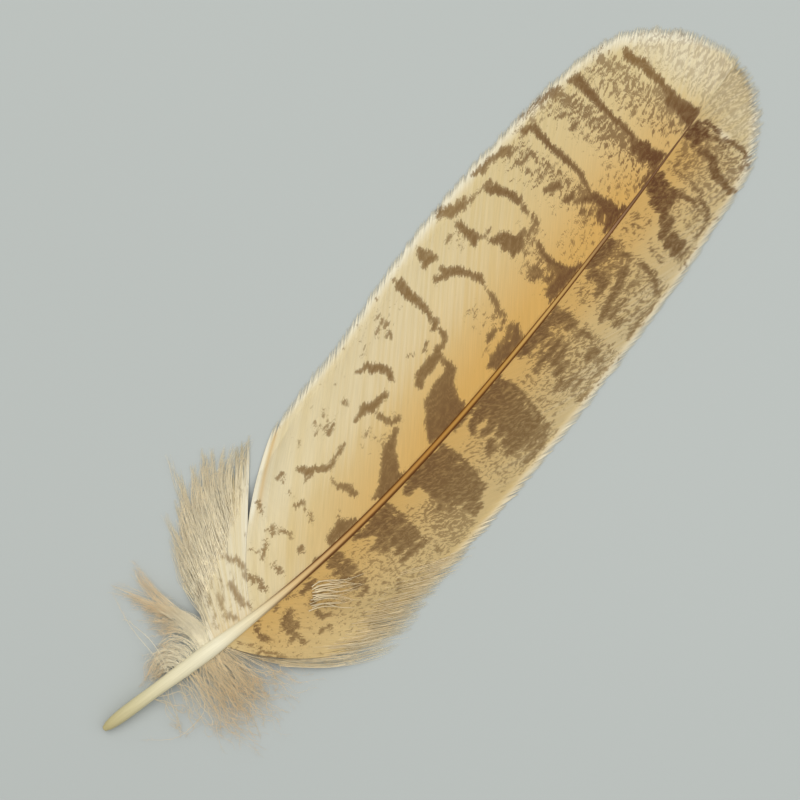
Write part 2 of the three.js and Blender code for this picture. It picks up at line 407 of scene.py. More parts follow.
def makeQuillMaterial():
    material, shader = newMaterial("horn", quill["surface"])
    unrolled = addNode(material, "ShaderNodeUVMap", uv_map="OFBake").outputs[0]
    around, along = addNode(material, "ShaderNodeSeparateXYZ", {"Vector": unrolled}).outputs[:2]
    blend = addNode(material, "ShaderNodeValToRGB", {"Fac": along})
    elements = blend.color_ramp.elements
    while len(elements) < len(quill["colours"]):
        elements.new(0.5)
    for element, (share, colour) in zip(elements, quill["colours"]):
        element.position = share
        element.color = linearColour(*colour)
    # darker flanks past the quill, partly own brown and partly painted shade, leaving a paler ridge line of
    # painted highlight
    left, right = (mapRange(material, around, quill["ridge"], flank) for flank in quill["flanks"])
    amber = mapRange(material, along, 0.15, 0.31)
    edge = addMath(material, "MULTIPLY", addMath(material, "MAXIMUM", left, right), amber)
    edge = mapRange(material, edge, 0.3, 0.75, 0, 0.94)
    edge = addMath(material, "MULTIPLY", edge, mapRange(material, along, 0.93, 0.965, 1, 0))
    dark = mixColours(material, edge, blend.outputs[0], linearColour(*quill["flankBrownAndShade"]))
    grain = addGrain(material, unrolled, 60, 22, detail=4)
    setColour(material, shader, dark, mapRange(material, grain, 0.3, 0.7, 0.9, 1.06))
    setBump(material, shader, grain, 0.25, 0.0001)
    return material


# Where a point of the tube goes: turn is its angle from the underside round.
def onQuill(s, turn):
    width = readTable(quill["widths"], s)
    past = smoothStep(s, quill["length"], 2 * quill["length"])
    depth = width * (1 + (quill["deeper"] - 1) * past)
    rise = -math.cos(turn)
    hollow = quill["groove"] * past * max(-rise - 0.6, 0) / 0.4
    z = shaftHeight(s) - 0.1 * past * depth + depth / 2 * (rise + hollow)
    return place(s, -math.sin(turn) * width / 2, max(z, 0.02))


def makeQuill():
    tube = bmesh.new()
    bmesh.ops.create_cone(tube, cap_ends=True, segments=quill["sides"], radius1=1, radius2=1, depth=1)
    lengthwise = [edge for edge in tube.edges if abs(edge.verts[0].co.z - edge.verts[1].co.z) > 0.5]
    bmesh.ops.subdivide_edges(tube, edges=lengthwise, cuts=quill["rings"])
    caps = [face for face in tube.faces if abs(face.normal.z) > 0.9]
    bmesh.ops.poke(tube, faces=caps)
    flat = tube.loops.layers.uv.new("OFBake")
    for face in tube.faces:
        turns = [math.atan2(corner.vert.co.x, -corner.vert.co.y) % math.tau for corner in face.loops]
        wraps = max(turns) - min(turns) > math.pi
        for corner, turn in zip(face.loops, turns):
            along = (corner.vert.co.z + 0.5) ** quill["crowding"]
            if wraps and turn < math.pi:
                turn += math.tau
            if math.hypot(corner.vert.co.x, corner.vert.co.y) < 0.5:  # the middle of an end
                turn, along = math.pi, abs(along - 0.004)
            corner[flat].uv = (0.02 + 0.94 * turn / math.tau, along)
    for vertex in tube.verts:
        along = vertex.co.z + 0.5
        radius = math.hypot(vertex.co.x, vertex.co.y)
        turn = math.atan2(vertex.co.x, -vertex.co.y)
        s = quill["top"] * along ** quill["crowding"]
        spot = onQuill(s, turn)
        if radius < 0.5:
            bulge = math.copysign(quill["bulge"], along - 0.5)
            spot = (onQuill(s, 0) + onQuill(s, math.pi)) / 2 + (bulge * mm, 0, 0)
        vertex.co = spot
    bmesh.ops.recalc_face_normals(tube, faces=tube.faces)
    mesh = bpy.data.meshes.new("quill_and_shaft")
    tube.to_mesh(mesh)
    tube.free()
    addPiece("quill_and_shaft", mesh, makeQuillMaterial())


makeQuill()


# Rows of a vane: where on the shaft a barb grows, the s and d of its free tip, and the angle in degrees
# at which it leaves the shaft. The barbs between are blended from these.
looseVane = [
    (42, 46.5, 17, 80), (46, 56, 27, 72), (50, 68, 33, 64), (53, 80, 38, 62), (57.6, 92.5, 40.2, 60.5),
]
wideVane = [
    (56.5, 100, 38.5, 63.5), (66, 115, 40.5, 52), (80, 134, 42, 45), (100, 161, 45, 42), (120, 183, 46, 41),
    (140, 205, 45.2, 40), (160, 226, 43.2, 39), (180, 246.3, 40.3, 38), (200, 262, 35.6, 36),
    (215, 271, 28.8, 33), (230, 276.8, 20.3, 28), (245, 279.8, 12, 22), (258, 280.8, 5.3, 14),
    (270, 281, -0.3, 2),
]
narrowVane = [
    (44, 79, 31, 58), (50, 87, 31.5, 52), (60, 100, 29.5, 45), (80, 128, 28.6, 36), (100, 154, 28, 32),
    (120, 178, 27.2, 30), (140, 200, 26.5, 30), (160, 219, 26, 30), (180, 237, 24.7, 30),
    (200, 253, 23.4, 29), (215, 262.5, 20.3, 28), (230, 270, 16, 25), (245, 275.8, 10.3, 20),
    (258, 278.8, 5.2, 13), (270, 280, -0.3, 2),
]

# The brown bars and flecks, and a few streaks of painted shade, as strokes: how dark, then s, d and half the
# width at each point.
wideMarks = [
    # flecks of the loose part
    (0.7, (50.5, 16.5, 0.8), (48.8, 16.3, 0.8), (47.3, 15, 0.6)),
    (0.5, (53, 11.8, 0.6), (51.5, 9.5, 0.7), (51.5, 7.5, 0.6)),
    (0.6, (51.2, 6, 0.6), (52, 4.6, 0.8), (52.5, 3, 0.7)),
    (0.4, (48.5, 9, 0.6), (48, 7, 0.5)),
    (0.5, (53.6, 10.8, 0.7), (51.8, 8.6, 0.8), (51, 7.6, 0.5)),
    (0.5, (50.2, 5.6, 0.6), (51.4, 4.4, 1), (53, 3.1, 0.7)),
    (0.4, (56.2, 14.4, 0.5), (54.6, 12.9, 0.5), (53.4, 11.8, 0.5)),
    (0.4, (50, 12.4, 0.6), (48.2, 11, 0.5)),
    (0.4, (47.8, 7.8, 0.5), (46, 5.6, 0.5)),
    (0.4, (55.4, 19.6, 0.5), (57.4, 22, 0.6), (58.4, 24, 0.5)),
    (0.4, (46.2, 4.4, 0.6), (47.6, 3.4, 0.5)),
    (0.35, (54, 16.6, 0.5), (52.4, 15, 0.5)),
    (0.35, (60.6, 14.5, 0.5), (59.4, 12.6, 0.5)),
    (0.5, (56, 14.5, 0.7), (55, 13, 0.5)),
    (0.7, (57.8, 11.8, 0.9), (57.2, 8, 1), (57, 4.8, 0.9)),
    (0.6, (58.5, 2.6, 0.8), (58.3, 4.4, 0.6)),
    (0.4, (59.5, 23, 0.6), (58, 21.5, 0.5)),
    (0.5, (60.5, 20.5, 0.7), (62, 19.5, 0.6)),
    (0.6, (62, 18.5, 0.8), (64, 16.5, 0.9), (64, 13.5, 0.9)),
    (0.7, (63.5, 11, 1.3), (64, 9.5, 1.3), (65, 6.5, 1.3), (64.7, 4.7, 1.3)),
    (0.4, (71, 20.5, 0.6)),
    (0.5, (69.5, 17, 0.6), (70, 14.5, 0.7)),
    (0.7, (70.5, 12, 0.9), (72, 13, 0.9), (74.5, 15, 0.8)),
    (0.5, (71.3, 9, 0.5), (73, 8.5, 0.5)),
    (0.7, (72, 7, 1), (72, 5.7, 1)),
    (0.4, (72.2, 4, 0.6)),
    (0.6, (79.8, 22.6, 0.8), (80.5, 24.2, 0.9), (80.6, 26, 0.6)),
    (0.4, (79, 21, 0.5)),
    (0.6, (77.8, 17, 0.9), (79.5, 17.3, 0.9), (78, 15.7, 0.9)),
    (0.55, (80, 15, 0.9), (80.8, 13.5, 0.9), (81.7, 11.7, 0.9)),
    (0.75, (81.2, 6.3, 1.2)),
    (0.6, (82.3, 1.6, 0.5), (84, 1.2, 0.5)),
    (0.75, (91, 27, 0.7), (92.8, 26.8, 0.7)),
    (0.7, (91.3, 25, 0.6)),
    (0.4, (90.2, 22, 0.5), (90, 20.5, 0.5)),
    (0.4, (90.5, 19, 0.5)),
    (0.65, (89, 17, 0.8), (91.5, 16.3, 0.8)),
    (0.5, (90, 15, 0.6), (90.3, 13.7, 0.6)),
    (0.6, (90.5, 12.2, 0.7), (89.5, 10.5, 0.7)),
    (0.85, (90, 2.6, 1.3), (93, 2.8, 1.7), (95.5, 3, 1.9), (97.5, 2.3, 1.3), (99.3, 1.6, 0.7)),
    (0.55, (95.5, 5, 0.6), (97.5, 6.5, 0.6)),
    # the first wavy bar
    (0.85, (97.7, 24.3, 0.8), (98.7, 23, 1), (98.7, 21.5, 1.2), (101, 21.2, 0.9), (103.5, 19.3, 0.9)),
    (0.85, (103.5, 19.3, 0.9), (105.3, 18.2, 0.8), (107.5, 18.8, 0.5), (109, 19.3, 0.4)),
    (0.5, (96.7, 20.2, 0.6), (98.5, 20.8, 0.6)),
    (0.75, (109.5, 19.2, 0.5), (111.5, 19.6, 0.8), (113, 19.7, 0.5)),
    (0.5, (102.8, 15, 0.7), (102.5, 13.3, 0.7)),
    (0.7, (103, 12.3, 1.1), (104, 11, 1.1), (105, 10, 1.1), (104.3, 8, 1.1), (104.7, 7.3, 1.1)),
    (0.4, (102.5, 29.2, 0.5), (103.8, 30.3, 0.5)),
    (0.3, (102.5, 32.5, 0.5)),
    (0.25, (103, 35, 0.5)),
    (0.25, (102.5, 38, 0.5)),
    # a cluster of flecks
    (0.5, (109, 28.2, 0.45), (110.8, 28.7, 0.45)),
    (0.5, (110.5, 30, 0.45), (112, 30.8, 0.45)),
    (0.45, (112, 29, 0.45), (113.5, 29.3, 0.45)),
    (0.6, (112.8, 28, 0.45), (114.8, 28.2, 0.45)),
    (0.6, (112, 27.2, 0.45), (114, 27.3, 0.45)),
    (0.75, (112.3, 25.8, 0.7), (115, 26.3, 0.7)),
    (0.55, (115, 30.5, 0.45), (116.5, 31.3, 0.45)),
    (0.4, (117.3, 27.6, 0.45)),
    (0.7, (122.3, 28.7, 0.5), (124, 28.8, 0.5)),
    (0.5, (122.7, 27.4, 0.5)),
    (0.3, (125.3, 34.5, 0.5)),
    (0.3, (129, 34.7, 0.5)),
    (0.3, (114.2, 34.8, 0.5)),
    (0.3, (121.5, 37.3, 0.5)),
    (0.35, (134, 40, 0.5), (135, 39.8, 0.5)),
    (0.35, (140, 37.5, 0.5)),
    (0.35, (137, 34.2, 0.5), (140, 35, 0.5)),
    (0.4, (143, 40, 0.5), (143.5, 41.3, 0.5)),
    (0.4, (154, 42, 0.5), (155, 42.8, 0.5)),
    # the wavy bar and the curved one past it
    (0.9, (121, 22.4, 0.5), (124, 22.4, 0.8), (126, 23.2, 1), (127, 21.5, 1.3), (130, 21.4, 1)),
    (0.9, (130, 21.4, 1), (132.5, 21, 0.9), (134, 21.3, 0.4)),
    (0.85, (132.2, 32.2, 0.4), (133.5, 31.2, 0.7), (136.5, 30.8, 0.8), (136.3, 29.2, 1.3), (138.3, 28, 1)),
    (0.85, (138.3, 28, 1), (138.5, 26.3, 1.2), (139.7, 25.5, 0.7), (138.5, 24, 1), (138, 22.7, 0.6)),
    (0.5, (148.5, 38, 0.5), (150.5, 38.3, 0.5)),
    (0.55, (149.5, 36.5, 0.6), (150.5, 36.8, 0.6)),
    (0.6, (145.8, 35.5, 0.5), (147.5, 35.7, 0.5)),
    (0.7, (148.7, 34.5, 0.6), (150.3, 35, 0.6)),
    (0.7, (147, 32.3, 0.6), (148.5, 32, 0.6)),
    (0.6, (147.8, 31.2, 0.5)),
    (0.6, (147, 24, 0.5), (148, 22.7, 0.5)),
    (0.7, (151, 21, 0.6), (153.5, 21.7, 0.6)),
    # the patch that runs out from the shaft
    (0.88, (109.5, 2, 1), (112, 2.6, 1.6), (115, 3.8, 2.1), (117.5, 5, 2.5), (119.5, 7.3, 2.2)),
    (0.88, (119.5, 7.3, 2.2), (121.5, 9.2, 1.8), (124, 10.2, 1), (127.5, 11.7, 0.7)),
    (0.85, (108, 2.4, 0.6), (110, 1.8, 1), (117, 2.2, 1.3), (119.5, 1.2, 0.5)),
    (0.4, (120.5, 12, 0.6), (124.5, 13, 0.6)),
    (0.5, (120, 17.5, 0.6), (121.5, 17.6, 0.6)),
    (0.55, (121.5, 14.7, 0.6)),
    (0.75, (127.2, 18, 0.9), (127.5, 16, 0.9), (128, 14.5, 0.9), (130, 13.3, 0.9)),
    # the large patch, and the bar that carries it on
    (0.92, (132, 2, 0.7), (134.5, 3, 1.8), (137, 4.3, 3), (140, 5.3, 3.6), (143, 6, 4), (145, 8.3, 3.6)),
    (0.92, (145, 8.3, 3.6), (147, 9.8, 2.4), (150, 10.6, 1.7), (152, 11.3, 1.4), (152.7, 13.5, 0.8)),
    (0.85, (152.7, 13.5, 0.8), (152.5, 15, 0.7)),
    (0.92, (135, 2, 1.5), (145.5, 2.2, 1.6)),
    (0.88, (139.8, 9.3, 1.5), (143.5, 10.2, 1.4), (147, 10.8, 1.2)),
    (0.9, (142.2, 14.7, 0.9), (142.5, 15.8, 1.1), (145, 17.1, 1.4), (148, 16.9, 1.6), (151, 17.2, 1.4)),
    (0.9, (151, 17, 1.3), (153, 17, 1.3), (154, 18.5, 0.8), (156, 17.8, 0.5), (158, 18.6, 0.7)),
    (0.9, (158, 18.6, 0.7), (159, 20, 0.8), (159, 21.5, 0.6)),
    (0.88, (158.2, 23.3, 0.8), (160.3, 24, 0.8), (160, 26, 0.6), (160.7, 27.3, 0.7), (161.2, 29, 1)),
    (0.88, (161.2, 29, 1), (161.5, 31, 1.1), (161.5, 33, 1.4), (161.3, 35.3, 1.5), (161.5, 37.5, 1.5)),
    (0.88, (161.5, 37.5, 1.5), (162, 39.2, 1.6), (163.7, 39.8, 0.5)),
    (0.5, (161.8, 41.3, 0.6), (162, 42, 0.6)),
    (0.3, (165, 43.8, 0.5), (167, 43, 0.5)),
    # the next patch and bar
    (0.9, (160, 3.2, 0.6), (162, 3, 1.3), (165, 2.8, 1.8), (168, 2.3, 1.6), (171, 2.2, 1.4), (174.5, 4.3, 1)),
    (0.85, (161, 1.6, 0.7), (173, 1.2, 0.7)),
    (0.7, (166, 4.6, 0.8), (170, 4.4, 0.8), (173, 5.6, 0.9), (174.3, 6.3, 0.8)),
    (0.45, (162, 7, 0.5), (164.5, 7, 0.5)),
    (0.8, (165.5, 8.2, 0.6), (167, 8.6, 0.9), (169.7, 8.8, 0.7)),
    (0.75, (173, 8.2, 0.7), (175, 9.5, 0.7)),
    (0.65, (172, 11.3, 0.6), (175.5, 11, 0.6)),
    (0.5, (169, 12.4, 0.6)),
    (0.5, (169.7, 16.2, 0.6)),
    (0.35, (168.3, 18, 0.5), (170, 18.3, 0.5)),
    (0.75, (175, 12, 0.8), (176, 13.5, 0.8), (177, 15.5, 1), (177.3, 17.2, 0.6)),
    (0.5, (178, 19, 0.5)),
    (0.85, (178.5, 20.5, 0.6), (179, 22.2, 1.1), (178.5, 24, 1), (178, 26, 0.9), (177, 28, 1.3)),
    (0.85, (177, 28, 1.3), (175.8, 29.5, 1.3), (174.3, 31.5, 1.2), (174, 33, 0.7)),
    (0.85, (170, 32.2, 0.7), (171.5, 31.3, 0.9), (173.5, 30.3, 0.8)),
    (0.85, (171.3, 37.4, 0.7), (173.5, 37.6, 1.3), (175.5, 36.6, 0.8)),
    (0.7, (172.8, 39.3, 1.2), (174.3, 40.8, 1.4), (175.5, 38.8, 0.9)),
    (0.45, (174.5, 42.5, 0.7)),
    (0.85, (188.3, 37.5, 0.9), (188, 35.5, 1.2), (188, 33.5, 1.4), (188.2, 31.5, 1.4), (186.5, 30, 0.9)),
    (0.8, (187.5, 30.5, 0.8), (189.5, 29.7, 0.5)),
    (0.6, (182, 37, 0.6), (184.5, 37.2, 0.6)),
    (0.4, (184.5, 35, 0.5), (186.5, 35.7, 0.5)),
    (0.35, (183, 33, 0.5), (186, 33, 0.5)),
    (0.6, (190, 28.8, 0.5), (193, 28.9, 0.5)),
    # greyer flecks at the margin
    (0.62, (186.2, 43.6, 0.9), (188.3, 43.8, 1.4), (189.5, 42, 1.9), (191.5, 41, 1.8), (193.5, 40.3, 1.8)),
    (0.6, (193.5, 40.5, 1.4), (195.5, 40.7, 0.8), (195.7, 39.3, 0.8), (197.5, 38.8, 0.7)),
    (0.55, (197.5, 38.8, 0.7), (200.5, 38.6, 0.4), (203, 38.4, 0.5)),
    # the forked bar
    (0.85, (190, 26.3, 0.8), (191.5, 25, 1.3), (193.5, 23.8, 1.8), (192.5, 21.8, 2.2), (194.5, 21.5, 1.9)),
    (0.85, (191.5, 19, 1), (194.5, 18.8, 1.2), (197, 20.5, 0.8), (199, 20.5, 0.6)),
    (0.65, (197, 17.8, 0.7), (199, 19.2, 0.7), (202, 19.3, 0.7), (204, 19.7, 0.7)),
    (0.55, (200, 17.3, 0.6), (203, 18.2, 0.6)),
    (0.75, (204, 21.2, 0.8)),
    (0.85, (202.7, 36.5, 1.3), (203.7, 35, 1.6), (204.5, 33, 1.4), (205.2, 31, 1), (205.3, 29.3, 1.4)),
    (0.85, (205.3, 29.3, 1.4), (205.3, 27.2, 1)),
    (0.8, (203.3, 38, 0.8), (204.7, 37.7, 0.8)),
    (0.7, (204.5, 25.2, 0.8), (204, 23.8, 0.9)),
    (0.65, (203.5, 43.3, 0.7), (206, 42, 1.2), (209, 42, 0.9), (212, 41, 0.9), (214.5, 40, 1.4)),
    (0.65, (214.5, 40, 1.4), (217, 39.3, 1), (214.8, 38.2, 0.9)),
    # the line and patch by the shaft that goes with it
    (0.92, (198.3, 15, 0.8), (197, 12, 0.8), (196.3, 9.5, 0.9), (196.3, 7, 1.2), (196.3, 4.5, 1.5)),
    (0.92, (196.3, 4.5, 1.5), (197, 2.5, 1.4), (200, 1.2, 0.6)),
    (0.9, (188.5, 3.3, 1), (190.5, 2.8, 1.7), (193, 2.6, 1.7), (195.5, 3, 1.7)),
    (0.9, (187, 1.6, 0.6), (201, 1.2, 0.6)),
    (0.65, (191.5, 6, 1.2), (193.5, 5.7, 1)),
    (0.75, (188.3, 10.5, 0.8), (190, 9.3, 0.9), (192, 9, 0.7), (192.5, 11, 0.8), (189.5, 11.5, 0.7)),
    (0.5, (193, 8, 0.6), (195, 8, 0.6)),
    (0.4, (190, 14, 0.5), (193, 14.3, 0.5)),
    (0.6, (193.5, 16.5, 0.7), (195, 16, 0.6)),
    (0.6, (197, 16.3, 0.6), (198.5, 16.7, 0.6)),
    # the third line from the tip
    (0.95, (214, 1.5, 0.8), (217, 1.9, 1.3), (219.5, 2.6, 2), (220, 5, 2), (220.2, 7.5, 1.4), (220, 10, 1.3)),
    (0.9, (220, 10, 1.3), (219, 11.6, 1.1), (216.5, 12.3, 0.7)),
    (0.9, (214.5, 1.6, 0.7), (223, 1.2, 0.7)),
    (0.8, (217.5, 6, 1.2), (215, 5, 0.5)),
    (0.75, (213.5, 10.4, 0.7), (215, 10.1, 0.7)),
    (0.55, (212, 8, 0.6), (217, 8.2, 0.6)),
    (0.75, (213.5, 16.5, 0.8), (215.5, 15.7, 1.2), (217, 16, 0.8)),
    (0.6, (214.5, 13.8, 0.7), (217.5, 13.5, 0.7)),
    (0.75, (212.3, 23.3, 0.6), (214.5, 22, 1.1), (216, 21, 1.3), (216.3, 19.8, 0.7)),
    (0.8, (220.2, 11.7, 0.8), (221, 13.8, 0.6), (222, 15.5, 0.7), (223.2, 17.5, 0.8), (223.6, 20.5, 0.9)),
    (0.8, (223.6, 20.5, 0.9), (223.8, 23, 1.1), (224.2, 26, 1.1), (224.5, 29, 1), (225, 32, 1.1)),
    (0.8, (225, 32, 1.1), (225.7, 35, 1.2), (226.3, 37, 1.3), (225.3, 38.3, 1.1), (223.3, 39.3, 0.9)),
    (0.6, (214, 35, 0.8), (216, 33.5, 0.8), (219, 33.3, 0.8)),
    (0.6, (214.5, 26.7, 0.6), (217, 26, 0.6)),
    (0.6, (226, 42.6, 0.4), (229, 41.8, 0.5), (232, 41.1, 0.6), (235, 40.3, 0.9), (237.5, 39.5, 1.2)),
    (0.6, (237.5, 39.5, 1.2), (240, 38.8, 0.9), (238, 38, 0.8)),
    # the second line from the tip
    (0.95, (238.5, 9, 0.9), (240.2, 9.7, 1.6), (241, 7, 1.9), (238.5, 6, 1.4), (240.5, 4, 2)),
    (0.95, (240.5, 4, 2), (241.5, 2.2, 1.6), (238.5, 2.3, 0.8)),
    (0.8, (231, 1.2, 0.6), (243, 1, 0.6)),
    (0.85, (240.8, 11.5, 1), (241.5, 11.5, 0.9), (242, 14, 0.9), (242.4, 17, 1), (242.9, 20, 1)),
    (0.8, (242.9, 20, 1), (243.4, 23, 1), (244, 26, 1.2), (244.8, 29, 1.4), (245.4, 32, 1.6)),
    (0.8, (245.4, 32, 1.6), (246, 34.7, 1.7), (247.2, 36, 1), (244.5, 36.8, 0.8)),
    (0.7, (232.5, 27.7, 0.7), (235, 27.8, 0.7)),
    (0.55, (235, 33, 0.7), (235.7, 31, 0.7)),
    # the last line
    (0.9, (257.5, 9, 1.9), (258, 6, 2.1), (257.8, 3.5, 2.5), (256.5, 1.5, 1.8), (259.5, 1.5, 1.3)),
    (0.8, (252, 0.9, 0.3), (262, 0.7, 0.2)),
    (0.8, (255.5, 3, 0.9)),
    (0.78, (259.2, 10, 1.4), (259.8, 13, 1.2), (260.5, 16, 1.3), (261, 19, 1.3), (261.6, 22, 1.7)),
    (0.78, (261.6, 22, 1.7), (262.3, 22.8, 1.2), (261, 25, 1.5), (261.4, 27.5, 1.4), (262.4, 29, 1.1)),
]
